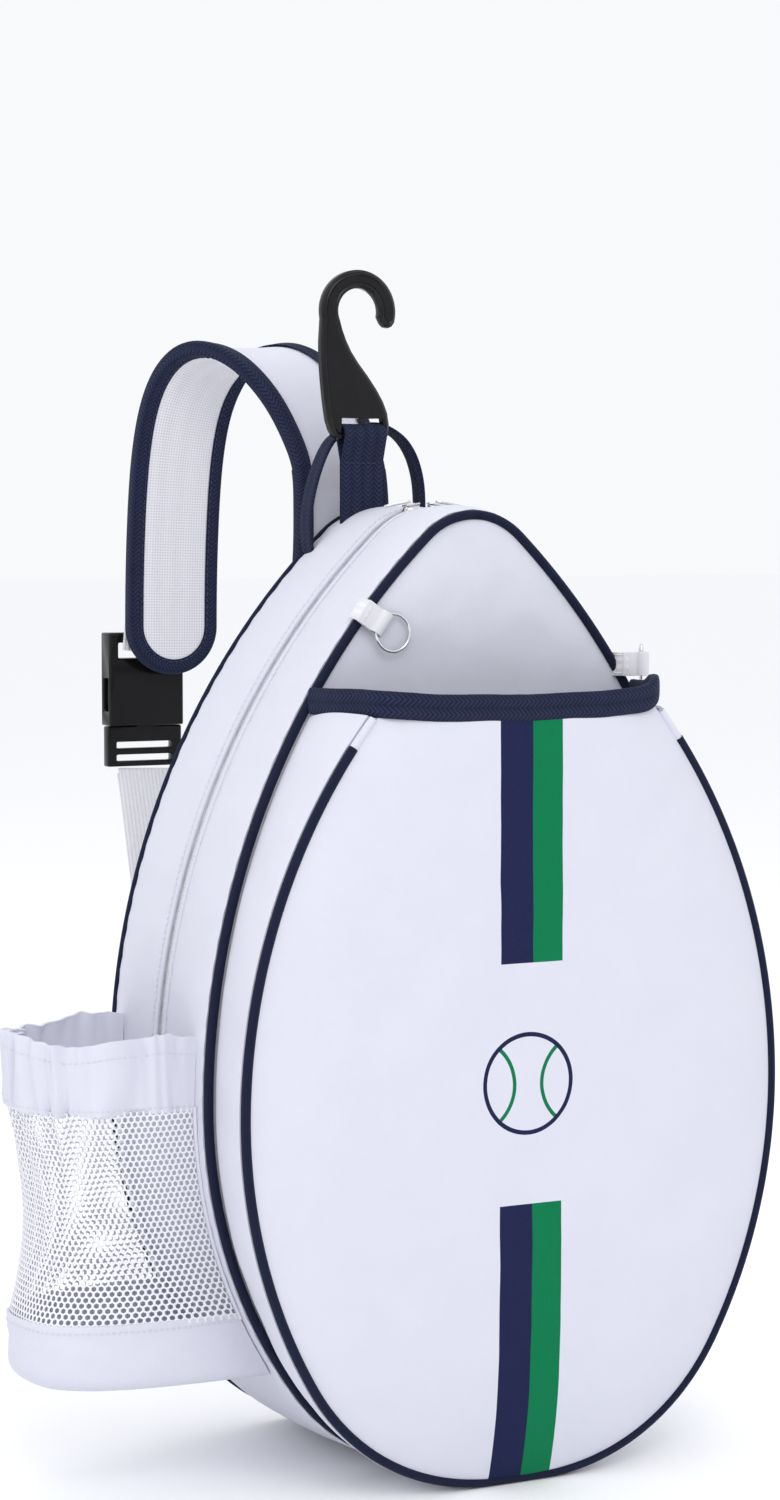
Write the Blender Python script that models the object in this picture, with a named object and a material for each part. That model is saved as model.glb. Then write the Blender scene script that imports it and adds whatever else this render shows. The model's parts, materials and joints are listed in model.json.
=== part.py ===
"""Sling backpack for one tennis racket: body, outer racket pocket, bottle pocket, hook, handle and strap.

Metres, +Z up, -Y is the front with the racket pocket, +Y is the wearer's side, +X is the wearer's right.
The origin is on the flat base, under the middle of the top seam.
"""
import math

import bmesh
import bpy
from mathutils import Matrix, Vector

# ---- driving dimensions ----------------------------------------------------------------------
HEIGHT = 0.478            # base to top seam
BODY_HALF = 0.148         # widest half-width of the main body
POCKET_HALF = 0.150       # widest half-width of the racket pocket
WIDE_Z = 0.190            # height of the widest place
TOP_R = 0.040             # arc over the top
BODY_LOW_R = 0.106        # arc from the base up the sides, main body
POCKET_LOW_R = 0.116      # the same arc on the racket pocket
POCKET_SIDE_R = 0.300     # upper side arc of the racket pocket
BASE_HALF = 0.014         # half-width of the flat that the bag stands on
Y_BACK = 0.059            # rear seam plane
Y_FRONT = -0.053          # front seam plane of the main body
Y_POCKET = -0.0995        # front seam plane of the racket pocket
POCKET_TOP = 0.380        # cloth edge of the racket pocket, under its binding
BINDING_TOP = 0.392
PANEL_DOME = 0.012        # fullness of the racket pocket's panel
CLOTH = 0.0025            # padded cloth wall
PIPE_R = 0.0024           # front pipings
PIPE_R_REAR = 0.0018      # rear piping
GAP = 0.0003              # clearance between touching pieces
ZIP_HALF = 0.006          # half-width of the zip's tape and chain
CENTRE_X = -0.006         # handle and strap sit a little off the middle
STRAP_HALF = 0.0235       # foam pad half-width, without its binding
STRAP_BIND = 0.003        # binding's width beyond the pad
PAD_THICK = 0.006
WEBBING = 0.0018          # webbing thickness
BUCKLE = Vector((-0.0755, 0.1864, 0.3610))   # middle of the buckle, on its mating line
STRAP_TOP = Vector((-0.0075, 0.0785, 0.4885))      # the strap swings about the line
STRAP_BOTTOM = Vector((-0.0905, 0.0800, 0.0775))   # through these two points
SWING = (STRAP_TOP - STRAP_BOTTOM).normalized()
TAB_X = -0.014            # hook tab's middle
TAB_Y = 0.0418
TAB_PIVOT_Z = 0.4810
HOOK_BAR_Z = 0.5170
HANDLE_PIVOT = Vector((CENTRE_X, 0.0525, 0.4600))
RING_R = 0.0092
RING_WIRE = 0.0009
X_AXIS = Vector((1, 0, 0))
Y_AXIS = Vector((0, 1, 0))
Z_AXIS = Vector((0, 0, 1))

COLOURS = {
    "white_canvas": ((0.80, 0.80, 0.86), 0.75, 0.0),
    "navy_trim": ((0.012, 0.017, 0.052), 0.8, 0.0),
    "white_mesh": ((0.78, 0.78, 0.82), 0.8, 0.0),
    "grey_lining": ((0.60, 0.59, 0.65), 0.85, 0.0),
    "white_webbing": ((0.72, 0.71, 0.74), 0.7, 0.0),
    "black_plastic": ((0.008, 0.008, 0.009), 0.3, 0.0),
    "steel": ((0.75, 0.75, 0.76), 0.22, 1.0),
    "board": ((0.30, 0.30, 0.32), 0.6, 0.0),
}


# ---- helpers ---------------------------------------------------------------------------------
def clear_scene():
    for old in list(bpy.data.objects):
        bpy.data.objects.remove(old, do_unlink=True)


def material(slot):
    found = bpy.data.materials.get(slot)
    if found:
        return found
    colour, roughness, metallic = COLOURS[slot]
    made = bpy.data.materials.new(slot)
    made.use_nodes = True
    shader = made.node_tree.nodes["Principled BSDF"]
    shader.inputs["Base Color"].default_value = (*colour, 1.0)
    shader.inputs["Roughness"].default_value = roughness
    shader.inputs["Metallic"].default_value = metallic
    return made


def add_object(name, bm, slot, pivot=None, smooth=True):
    """One closed body from a bmesh in world coordinates, with its origin at the pivot."""
    bmesh.ops.recalc_face_normals(bm, faces=bm.faces)
    mesh = bpy.data.meshes.new(name)
    bm.to_mesh(mesh)
    bm.free()
    if smooth:
        mesh.shade_smooth()
        mesh.set_sharp_from_angle(angle=math.radians(35))
    obj = bpy.data.objects.new(name, mesh)
    bpy.context.collection.objects.link(obj)
    if pivot is not None:
        mesh.transform(Matrix.Translation(-Vector(pivot)))
        obj.location = pivot
    mesh.materials.append(material(slot))
    return obj


def loft(sections, closed=False):
    """A solid through equal rings of points; open ends are capped."""
    bm = bmesh.new()
    rings = [[bm.verts.new(p) for p in ring] for ring in sections]
    count = len(rings[0])
    last = len(rings) if closed else len(rings) - 1
    for i in range(last):
        a, b = rings[i], rings[(i + 1) % len(rings)]
        for j in range(count):
            k = (j + 1) % count
            bm.faces.new((a[j], a[k], b[k], b[j]))
    if not closed:
        bm.faces.new(rings[0])
        bm.faces.new(rings[-1])
    return bm


def grid_shell(front, back):
    """A closed solid between two equal grids of points."""
    bm = bmesh.new()
    rows, cols = len(front), len(front[0])
    top = [[bm.verts.new(p) for p in row] for row in front]
    low = [[bm.verts.new(p) for p in row] for row in back]
    for i in range(rows - 1):
        for j in range(cols - 1):
            bm.faces.new((top[i][j], top[i][j + 1], top[i + 1][j + 1], top[i + 1][j]))
            bm.faces.new((low[i][j], low[i + 1][j], low[i + 1][j + 1], low[i][j + 1]))
    for i in range(rows - 1):
        for j in (0, cols - 1):
            bm.faces.new((top[i][j], top[i + 1][j], low[i + 1][j], low[i][j]))
    for j in range(cols - 1):
        for i in (0, rows - 1):
            bm.faces.new((top[i][j], top[i][j + 1], low[i][j + 1], low[i][j]))
    return bm


def prism(loop, direction):
    """A flat loop of points pushed along a direction."""
    return loft([loop, [Vector(p) + Vector(direction) for p in loop]])


def box(low, high):
    x0, y0, z0 = low
    x1, y1, z1 = high
    loop = [Vector((x0, y0, z0)), Vector((x1, y0, z0)), Vector((x1, y1, z0)), Vector((x0, y1, z0))]
    return prism(loop, (0, 0, z1 - z0))


def cutter(name, bm):
    obj = add_object(name, bm, "board", smooth=False)
    obj.hide_render = True
    obj.display_type = "WIRE"
    return obj


def cut(obj, tool):
    modifier = obj.modifiers.new("cut_" + tool.name, "BOOLEAN")
    modifier.operation = "DIFFERENCE"
    modifier.solver = "EXACT"
    modifier.object = tool


def arc(cx, cz, radius, start, stop, count):
    """Points of an arc in the XZ plane, both ends included; angles in radians from +X."""
    return [(cx + radius * math.cos(start + (stop - start) * i / count),
             cz + radius * math.sin(start + (stop - start) * i / count)) for i in range(count + 1)]


def low_side_arc(half, low_r):
    """Radius of the side arc below the widest place, and the angle below horizontal at which it ends."""
    rise = WIDE_Z - low_r
    side_r = ((half - BASE_HALF) ** 2 + rise ** 2 - low_r ** 2) / (2 * (half - BASE_HALF - low_r))
    return side_r, math.atan2(rise, BASE_HALF - (half - side_r))


def low_side(half, low_r, inset):
    """Right-hand outline from the flat base up to the widest place: two tangent arcs."""
    side_r, turn = low_side_arc(half, low_r)
    points = arc(BASE_HALF, low_r, low_r - inset, -math.pi / 2, -turn, 9)
    return points + arc(half - side_r, WIDE_Z, side_r - inset, -turn, 0, 4)[1:]


def top_side_radius():
    reach = HEIGHT - TOP_R - WIDE_Z
    return (BODY_HALF ** 2 + reach ** 2 - TOP_R ** 2) / (2 * (BODY_HALF - TOP_R))


def top_turn():
    """Angle above the horizontal at which the side arc meets the top arc."""
    return math.atan2(HEIGHT - TOP_R - WIDE_Z, top_side_radius() - BODY_HALF)


def high_side(inset):
    """Right-hand outline from the widest place over to the middle of the top."""
    radius = top_side_radius()
    points = arc(BODY_HALF - radius, WIDE_Z, radius - inset, 0, top_turn(), 12)
    return points + arc(0, HEIGHT - TOP_R, TOP_R - inset, top_turn(), math.pi / 2, 7)[1:]


def mirrored(points):
    return [(-x, z) for x, z in reversed(points)]


def body_loop(inset):
    """The whole closed outline of the main body, moved in by an inset."""
    right = low_side(BODY_HALF, BODY_LOW_R, inset) + high_side(inset)[1:]
    return right + mirrored(right)[1:]


def pocket_side(inset, top):
    """Right-hand outline of the racket pocket, up to a height."""
    cx = POCKET_HALF - POCKET_SIDE_R
    stop = math.asin((top - WIDE_Z) / (POCKET_SIDE_R - inset))
    return low_side(POCKET_HALF, POCKET_LOW_R, inset) + arc(cx, WIDE_Z, POCKET_SIDE_R - inset, 0, stop, 11)[1:]


def body_side_to(inset, top):
    """Right-hand outline of the main body, up to a height, with as many points as pocket_side."""
    radius = top_side_radius()
    stop = math.asin((top - WIDE_Z) / (radius - inset))
    points = arc(BODY_HALF - radius, WIDE_Z, radius - inset, 0, stop, 11)
    return low_side(BODY_HALF, BODY_LOW_R, inset) + points[1:]


def body_half_at(z):
    """Half-width of the main body at a height."""
    if z >= WIDE_Z:
        radius = top_side_radius()
        return BODY_HALF - radius + math.sqrt(radius ** 2 - (z - WIDE_Z) ** 2)
    side_r, turn = low_side_arc(BODY_HALF, BODY_LOW_R)
    if z > BODY_LOW_R * (1 - math.sin(turn)):
        return BODY_HALF - side_r + math.sqrt(side_r ** 2 - (z - WIDE_Z) ** 2)
    return BASE_HALF + math.sqrt(BODY_LOW_R ** 2 - (BODY_LOW_R - z) ** 2)


def wall(outer, inner, y0, y1, closed):
    """A cloth wall that follows an outline: the strip between two offsets of it, from y0 to y1."""
    sections = []
    for (xo, zo), (xi, zi) in zip(outer, inner):
        sections.append([(xo, y0, zo), (xo, y1, zo), (xi, y1, zi), (xi, y0, zi)])
    return loft(sections, closed)


def tube(path, radius, sides, closed):
    """A round cord along a path of points."""
    sections = []
    count = len(path)
    normal = None
    for i, point in enumerate(path):
        before = path[i - 1] if closed or i else path[i]
        after = path[(i + 1) % count] if closed or i < count - 1 else path[i]
        along = (Vector(after) - Vector(before)).normalized()
        if normal is None:
            normal = along.orthogonal().normalized()
            if abs(along.y) < 0.9:
                normal = (Y_AXIS - along * along.y).normalized()
        normal = (normal - along * normal.dot(along)).normalized()
        side = along.cross(normal)
        sections.append([Vector(point) + normal * radius * math.cos(2 * math.pi * j / sides)
                         + side * radius * math.sin(2 * math.pi * j / sides) for j in range(sides)])
    return loft(sections, closed)


def smooth_path(points, steps):
    """Catmull-Rom points through a list, steps to each span."""
    pts = [Vector(p) for p in points]
    pts = [2 * pts[0] - pts[1]] + pts + [2 * pts[-1] - pts[-2]]
    path = []
    for i in range(1, len(pts) - 2):
        a, b, c, d = pts[i - 1:i + 3]
        for k in range(steps):
            t = k / steps
            path.append(0.5 * (2 * b + (c - a) * t + (2 * a - 5 * b + 4 * c - d) * t * t
                               + (3 * b - 3 * c + d - a) * t ** 3))
    path.append(pts[-2])
    return path


class Ribbon:
    """A flat strap along a path: a point on it has a distance along, across and above."""

    def __init__(self, points, steps, across=X_AXIS):
        self.path = smooth_path(points, steps)
        self.lengths = [0.0]
        for a, b in zip(self.path, self.path[1:]):
            self.lengths.append(self.lengths[-1] + (b - a).length)
        self.length = self.lengths[-1]
        self.across = across

    def frame(self, s):
        s = min(max(s, 0.0), self.length)
        i = 0
        while i < len(self.lengths) - 2 and self.lengths[i + 1] < s:
            i += 1
        t = (s - self.lengths[i]) / (self.lengths[i + 1] - self.lengths[i])
        place = self.path[i].lerp(self.path[i + 1], t)
        here = (self.path[i + 1] - self.path[i]).normalized()
        before = (self.path[i] - self.path[i - 1]).normalized() if i else here
        j = min(i + 2, len(self.path) - 1)
        after = (self.path[j] - self.path[i + 1]).normalized() if j > i + 1 else here
        along = ((before + here) * (1 - t) + (here + after) * t).normalized()
        across = (self.across - along * self.across.dot(along)).normalized()
        return place, along, across, along.cross(across)

    def point(self, s, t, h):
        place, _, across, up = self.frame(s)
        return place + across * t + up * h

    def strip(self, start, stop, count, half, low, high):
        """A strip of the ribbon; half may be a number or a function of the distance along."""
        width = half if callable(half) else (lambda s: half)
        sections = []
        for i in range(count + 1):
            s = start + (stop - start) * i / count
            w = width(s)
            sections.append([self.point(s, -w, low), self.point(s, w, low),
                             self.point(s, w, high), self.point(s, -w, high)])
        return loft(sections)


# ---- the bag's body --------------------------------------------------------------------------
def make_flat_panels():
    """Front panel, back panel, its stiffening board and its padded cushion."""
    inset = 2 * PIPE_R + 2 * GAP
    loop = body_loop(inset)
    front = prism([(x, Y_FRONT - 0.0010, z) for x, z in loop], (0, CLOTH, 0))
    add_object("front_panel", front, "white_canvas")
    rear_inset = 2 * PIPE_R_REAR + 2 * GAP
    loop = body_loop(rear_inset)
    back = prism([(x, Y_BACK - 0.0015, z) for x, z in loop], (0, 0.0030, 0))
    add_object("back_panel", back, "white_canvas")
    board = prism([(x, Y_BACK - 0.0038, z) for x, z in body_loop(0.012)], (0, 0.0020, 0))
    add_object("back_board", board, "board")
    low, top = 0.092, 0.415
    outer = [p for p in body_loop(0.022) if low <= p[1] <= top]
    inner = [(x * 0.93, low + 0.010 + (z - low) * 0.95) for x, z in outer]
    y0 = Y_BACK + 0.0015 + GAP
    rings = [[(x, y0, z) for x, z in outer], [(x, y0 + 0.0030, z) for x, z in outer],
             [(x, y0 + 0.0065, z) for x, z in inner]]
    add_object("back_cushion", loft(rings), "grey_lining")


def make_gussets():
    """The cloth wall round the body: one wide strip low down, two strips beside the zip above."""
    low_o = low_side(BODY_HALF, BODY_LOW_R, 0.0)
    low_i = low_side(BODY_HALF, BODY_LOW_R, CLOTH)
    low_o = mirrored(low_o) + low_o
    low_i = mirrored(low_i) + low_i
    y_front = Y_FRONT + PIPE_R + GAP
    y_back = Y_BACK - PIPE_R_REAR - GAP
    add_object("gusset_lower", wall(low_o, low_i, y_front, y_back, False), "white_canvas")
    # the upper strips start just over the widest place
    lift = GAP / top_side_radius()
    high_o = raised(high_side(0.0), lift)
    high_i = raised(high_side(CLOTH), lift)
    high_o = high_o + mirrored(high_o)[1:]
    high_i = high_i + mirrored(high_i)[1:]
    add_object("gusset_front", wall(high_o, high_i, y_front, -ZIP_HALF - GAP, False), "white_canvas")
    add_object("gusset_rear", wall(high_o, high_i, ZIP_HALF + GAP, y_back, False), "white_canvas")
    tape_o = raised(high_side(0.0005), lift)
    tape_i = raised(high_side(0.0022), lift)
    tape_o = tape_o + mirrored(tape_o)[1:]
    tape_i = tape_i + mirrored(tape_i)[1:]
    add_object("zip_chain", wall(tape_o, tape_i, -ZIP_HALF, ZIP_HALF, False), "white_webbing")


def raised(points, lift):
    """The same outline with its first point turned up by a small angle about the side arc's centre."""
    cx = BODY_HALF - top_side_radius()
    x, z = points[0]
    radius = math.hypot(x - cx, z - WIDE_Z)
    first = (cx + radius * math.cos(lift), WIDE_Z + radius * math.sin(lift))
    return [first] + points[1:]


def make_pipings():
    inset = PIPE_R + 0.0002
    loop = [(x, Y_FRONT, z) for x, z in body_loop(inset)]
    add_object("piping_front", tube(loop, PIPE_R, 8, True), "navy_trim")
    inset = PIPE_R_REAR + 0.0002
    loop = [(x, Y_BACK, z) for x, z in body_loop(inset)]
    add_object("piping_rear", tube(loop, PIPE_R_REAR, 6, True), "navy_trim")
    right = pocket_side(PIPE_R + 0.0002, POCKET_TOP - 0.0020)
    loop = [(x, Y_POCKET, z) for x, z in mirrored(right) + right]
    add_object("piping_pocket", tube(loop, PIPE_R, 8, False), "navy_trim")


def make_racket_pocket():
    """Panel with a full, rounded front, the gusset that joins it to the body, and the bound edge."""
    inset = 2 * PIPE_R + 2 * GAP
    side = pocket_side(inset, POCKET_TOP)
    rows = [side[i] for i in range(0, len(side), 2)]
    if rows[-1] != side[-1]:
        rows.append(side[-1])
    columns = 14
    y_flat = Y_POCKET + 0.0020
    front, back = [], []
    for i, (half, z) in enumerate(rows):
        rise = 1.0 - (1.0 - min(z / 0.10, 1.0)) ** 2.5
        front_row, back_row = [], []
        for j in range(columns + 1):
            u = math.sin((j / columns - 0.5) * math.pi)
            full = (1.0 - abs(u) ** 4) * rise
            front_row.append((half * u, Y_POCKET - 0.0015 - PANEL_DOME * full, z))
            back_row.append((half * u, y_flat, z))
        front.append(front_row)
        back.append(back_row)
    add_object("racket_pocket_panel", grid_shell(front, back), "white_canvas")

    outer_b = body_side_to(0.0060, POCKET_TOP)
    outer_b[0] = (outer_b[0][0], 0.0)
    outer_p = pocket_side(0.0, POCKET_TOP)
    sections = []
    y_rear, y_fore = Y_FRONT - PIPE_R - GAP, Y_POCKET + PIPE_R + GAP
    inner_b = body_side_to(0.0060 + CLOTH, POCKET_TOP)
    inner_p = pocket_side(CLOTH, POCKET_TOP)
    for ob, op, ip, ib in zip(outer_b, outer_p, inner_p, inner_b):
        ib_z = max(ib[1], CLOTH) if ob[1] < 0.002 else ib[1]
        sections.append([(ob[0], y_rear, ob[1]), (op[0], y_fore, op[1]), (ip[0], y_fore, ip[1]), (ib[0], y_rear, ib_z)])
    left = [[(-x, y, z) for x, y, z in ring] for ring in reversed(sections)]
    add_object("racket_pocket_gusset", loft(left + sections), "white_canvas")

    # the bound edge: out from the body on one side, across the panel, and back on the other
    z0, z1 = POCKET_TOP + GAP, BINDING_TOP
    rear_x = outer_b[-1][0] - 0.0015
    fore_x = outer_p[-1][0] - 0.0015
    fore_y = Y_POCKET - 0.0005
    path = [(rear_x, y_rear - 0.002), (rear_x * 0.6 + fore_x * 0.4, -0.075), (fore_x + 0.001, fore_y + 0.012),
            (fore_x - 0.003, fore_y + 0.002), (fore_x - 0.012, Y_POCKET - 0.0065), (fore_x * 0.55, Y_POCKET - 0.0105),
            (fore_x * 0.25, Y_POCKET - 0.0110)]
    path = path + [(0.0, Y_POCKET - 0.0110)] + [(-x, y) for x, y in reversed(path)]
    sections = []
    half = 0.0021
    for i, (x, y) in enumerate(path):
        a, b = path[max(i - 1, 0)], path[min(i + 1, len(path) - 1)]
        dx, dy = b[0] - a[0], b[1] - a[1]
        size = math.hypot(dx, dy)
        nx, ny = -dy / size * half, dx / size * half
        sections.append([(x - nx, y - ny, z0), (x + nx, y + ny, z0), (x + nx, y + ny, z1), (x - nx, y - ny, z1)])
    add_object("racket_pocket_binding", loft(sections), "navy_trim")


def make_base_board():
    board = box((-0.040, Y_FRONT + 0.006, 0.0115), (0.040, Y_BACK - 0.008, 0.0145))
    add_object("base_board", board, "board", smooth=False)


# ---- the bottle pocket on the side -------------------------------------------------------------
BOTTLE_LEVELS = {"bottle_pocket_base": (0.052, 0.085), "bottle_pocket_mesh": (0.0853, 0.188),
                 "bottle_pocket_hem": (0.1883, 0.224)}
BOTTLE_REACH = 0.078      # how far the pocket stands out at its mouth
BOTTLE_HALF = 0.046       # half-width of the pocket where it meets the gusset
BOTTLE_WALL = 0.0020


def bottle_ring(z, wall_in, scale=1.0, sides=14):
    """Half-round line of the pocket at a height, from its rear edge round to its front edge."""
    root = -(body_half_at(z) + 0.0014)
    swell = 1.0 - 0.10 * math.sin(math.pi * min(max((z - 0.085) / 0.105, 0.0), 1.0))
    reach = (-0.148 - BOTTLE_REACH) - root
    reach = (reach * swell + wall_in) * scale
    half = (BOTTLE_HALF - wall_in) * scale
    points = []
    for i in range(sides + 1):
        a = math.pi * i / sides
        c, s = math.cos(a), math.sin(a)
        y = half * math.copysign(abs(c) ** 0.72, c)
        points.append((root + reach * s ** 0.62, y, z))
    return points


def make_bottle_pocket():
    for name, slot in (("bottle_pocket_mesh", "white_mesh"), ("bottle_pocket_hem", "white_canvas")):
        low, high = BOTTLE_LEVELS[name]
        levels = [low + (high - low) * i / 4 for i in range(5)]
        outer = [bottle_ring(z, 0.0) for z in levels]
        inner = [bottle_ring(z, BOTTLE_WALL) for z in levels]
        add_object(name, grid_shell(outer, inner), slot)
    low, high = BOTTLE_LEVELS["bottle_pocket_base"]
    rows = [(0.0, 0.0, 0.10), (0.0, 0.0, 0.50), (0.0, 0.0, 0.86), (0.0050, 0.0015, 0.97), (0.0130, 0.0, 1.0),
            (0.0220, 0.0, 1.0), (high - low, 0.0, 1.0)]
    outer = [bottle_ring(low + up, inset, scale) for up, inset, scale in rows]
    inner = [bottle_ring(min(low + up + BOTTLE_WALL, high) if up < 0.01 else low + up, inset + BOTTLE_WALL * scale, scale)
             for up, inset, scale in rows]
    add_object("bottle_pocket_base", grid_shell(outer, inner), "white_canvas")


# ---- top fittings ------------------------------------------------------------------------------
def make_hook_tab():
    """A doubled webbing tab: a loop round the hook's bar, narrowing to the seam in the top."""
    half_w, thick = 0.0120, 0.0013
    bar = HOOK_BAR_Z
    ring_out, ring_in = 0.0057, 0.0046
    foot = TAB_PIVOT_Z
    loop = [(thick * math.sin(a), foot - thick * math.cos(a)) for a in (-1.2, -0.4, 0.4, 1.2)]
    loop += [(thick, bar - 0.014)]
    loop += [(ring_out * math.cos(a), bar + ring_out * math.sin(a))
             for a in [math.radians(-28 + 236 * i / 12) for i in range(13)]]
    loop += [(-thick, bar - 0.014)]
    x0 = TAB_X - half_w
    tab = add_object("hook_tab", prism([(x0, TAB_Y + y, z) for y, z in loop], (2 * half_w, 0, 0)), "navy_trim",
                     pivot=(TAB_X, TAB_Y, TAB_PIVOT_Z))
    hole = [(x0 - 0.002, TAB_Y + ring_in * math.cos(a), bar + ring_in * math.sin(a))
            for a in [2 * math.pi * i / 14 for i in range(14)]]
    cut(tab, cutter("cut_tab_loop", prism(hole, (2 * half_w + 0.004, 0, 0))))


def make_fence_hook():
    """A flat moulded hook, with a slot over its lower bar for the tab and two small slots above."""
    depth = 0.0068
    bar_half = 0.0025
    base = HOOK_BAR_Z - bar_half
    cx, cz, r_out, r_in = -0.0025, 0.066, 0.0213, 0.0118
    outer = [(-0.0135, 0.0), (-0.0185, 0.0040), (-0.0207, 0.0100), (-0.0232, 0.0300), (-0.0242, 0.0500)]
    outer += arc(cx, cz, r_out, math.pi * 1.06, -0.12, 15)
    tip = [(0.0165, 0.0585), (0.0135, 0.0580), (0.0108, 0.0600)]
    inner = arc(cx, cz, r_in, -0.10, math.pi * 1.12, 11)
    right = [(-0.0105, 0.0530), (-0.0035, 0.0405), (0.0065, 0.0275), (0.0130, 0.0165), (0.0150, 0.0080), (0.0135, 0.0)]
    loop = [(TAB_X + u, TAB_Y - depth / 2, base + v) for u, v in outer + tip + inner + right]
    hook = add_object("fence_hook", prism(loop, (0, depth, 0)), "black_plastic",
                      pivot=(TAB_X, TAB_Y, HOOK_BAR_Z))
    x0, x1 = TAB_X - 0.0126, TAB_X + 0.0126
    slot = box((x0, TAB_Y - 0.006, base + 2 * bar_half), (x1, TAB_Y + 0.006, base + 2 * bar_half + 0.0040))
    cut(hook, cutter("cut_hook_bar", slot))
    for name, u0, u1 in (("cut_slot_left", -0.0118, -0.0028), ("cut_slot_right", -0.0002, 0.0088)):
        low = (TAB_X + u0, TAB_Y - 0.006, base + 0.0112)
        high = (TAB_X + u1, TAB_Y + 0.006, base + 0.0132)
        cut(hook, cutter(name, box(low, high)))


def make_grab_handle():
    """A webbing arch whose feet go into the top seam."""
    y0, y1 = 0.0478, 0.0604
    half, top = 0.0325, 0.5225
    foot_left, foot_right = 0.4604, 0.4724
    thick = 0.0022
    line = [(-half, foot_left), (-half - 0.0015, 0.4720), (-half + 0.0030, 0.4950), (-half * 0.62, 0.5140),
            (-half * 0.2, top - 0.0015), (half * 0.25, top), (half * 0.72, 0.5130), (half - 0.001, 0.4935), (half, foot_right)]
    path = smooth_path([(CENTRE_X + x, 0, z) for x, z in line], 3)
    sections = []
    for i, p in enumerate(path):
        along = (path[min(i + 1, len(path) - 1)] - path[max(i - 1, 0)]).normalized()
        side = along.cross(Y_AXIS).normalized() * thick / 2
        sections.append([p + side + Y_AXIS * y0, p - side + Y_AXIS * y0, p - side + Y_AXIS * y1, p + side + Y_AXIS * y1])
    add_object("grab_handle", loft(sections), "navy_trim", pivot=HANDLE_PIVOT)


def make_ring_set(side, root, angle, swing):
    """A white webbing tab that ends in a loop, and the steel ring that turns in the loop."""
    y = Y_FRONT - 0.0053
    along = Vector((math.cos(angle), 0, math.sin(angle)))
    axis = Vector((-math.sin(angle), 0, math.cos(angle)))
    pivot = Vector((root[0], y, root[1])) + along * 0.0115
    half, barrel, hole, thick = 0.0060, 0.0036, 0.0026, 0.0011
    shift = 0.0005
    loop = [(-0.0115, shift + thick), (-0.0115, shift - thick)]
    loop += [(barrel * math.cos(a), barrel * math.sin(a)) for a in [math.radians(-170 + 323 * i / 14) for i in range(15)]]
    points = [pivot + along * u + Y_AXIS * v - axis * half for u, v in loop]
    tab = add_object("ring_tab_" + side, prism(points, axis * 2 * half), "white_webbing")
    points = [pivot + along * hole * math.cos(a) + Y_AXIS * hole * math.sin(a) - axis * (half + 0.002)
              for a in [2 * math.pi * i / 12 for i in range(12)]]
    cut(tab, cutter("cut_loop_" + side, prism(points, axis * 2 * (half + 0.002))))
    reach = math.cos(swing) * along + math.sin(swing) * Y_AXIS
    centre = pivot + reach * (RING_R - 0.00115)
    path = [centre + RING_R * (reach * math.cos(a) + axis * math.sin(a))
            for a in [2 * math.pi * i / 28 for i in range(28)]]
    add_object("ring_" + side, tube(path, RING_WIRE, 6, True), "steel", pivot=pivot)


def make_zip_sliders():
    """Two sliders that meet at the top, each with its pull; both ride on the top arc."""
    for side, sign in (("left", -1), ("right", 1)):
        turn = sign * math.radians(9.5)
        centre = Vector((0, 0, HEIGHT - TOP_R))
        out = Vector((math.sin(turn), 0, math.cos(turn)))
        along = Vector((math.cos(turn), 0, -math.sin(turn))) * sign
        low, high = TOP_R + 0.0004, TOP_R + 0.0040
        loop = [centre + out * low + along * u + Y_AXIS * v for u, v in
                ((-0.0050, -0.0032), (0.0030, -0.0042), (0.0050, -0.0030), (0.0050, 0.0030),
                 (0.0030, 0.0042), (-0.0050, 0.0032))]
        add_object("zip_slider_" + side, prism(loop, out * (high - low)), "steel", pivot=centre)
        hinge = centre + out * (TOP_R + 0.0053) + along * 0.0010
        loop = [hinge - out * 0.0008 + along * u + Y_AXIS * v for u, v in
                ((-0.0010, -0.0016), (0.0040, -0.0018), (0.0110, -0.0028), (0.0145, -0.0018), (0.0145, 0.0018),
                 (0.0110, 0.0028), (0.0040, 0.0018), (-0.0010, 0.0016))]
        add_object("zip_pull_" + side, prism(loop, out * 0.0014), "steel", pivot=hinge)


# ---- shoulder strap ----------------------------------------------------------------------------
PAD_ROUTE = [STRAP_TOP + SWING * 0.0006, STRAP_TOP + SWING * 0.0050, STRAP_TOP + SWING * 0.0094, (-0.0080, 0.0890, 0.5150),
             (-0.0150, 0.1010, 0.5400), (-0.0270, 0.1160, 0.5580), (-0.0400, 0.1330, 0.5640),
             (-0.0500, 0.1500, 0.5600), (-0.0570, 0.1630, 0.5420), (-0.0610, 0.1700, 0.5100),
             (-0.0625, 0.1735, 0.4700), (-0.0635, 0.1740, 0.4300), (-0.0640, 0.1730, 0.3920)]


def make_strap_base():
    """The strap's sewn end: flat on the back panel, then up to where the strap starts to swing."""
    route = [(CENTRE_X, 0.0650, 0.4230), (CENTRE_X, 0.0650, 0.4520), (CENTRE_X - 0.0005, 0.0690, 0.4700),
             STRAP_TOP - SWING * 0.0080, STRAP_TOP - SWING * 0.0041, STRAP_TOP - SWING * 0.0002]
    ribbon = Ribbon(route, 4)
    add_object("strap_base", ribbon.strip(0, ribbon.length, 14, STRAP_HALF + STRAP_BIND, -0.0025, 0.0025), "white_canvas")


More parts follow.
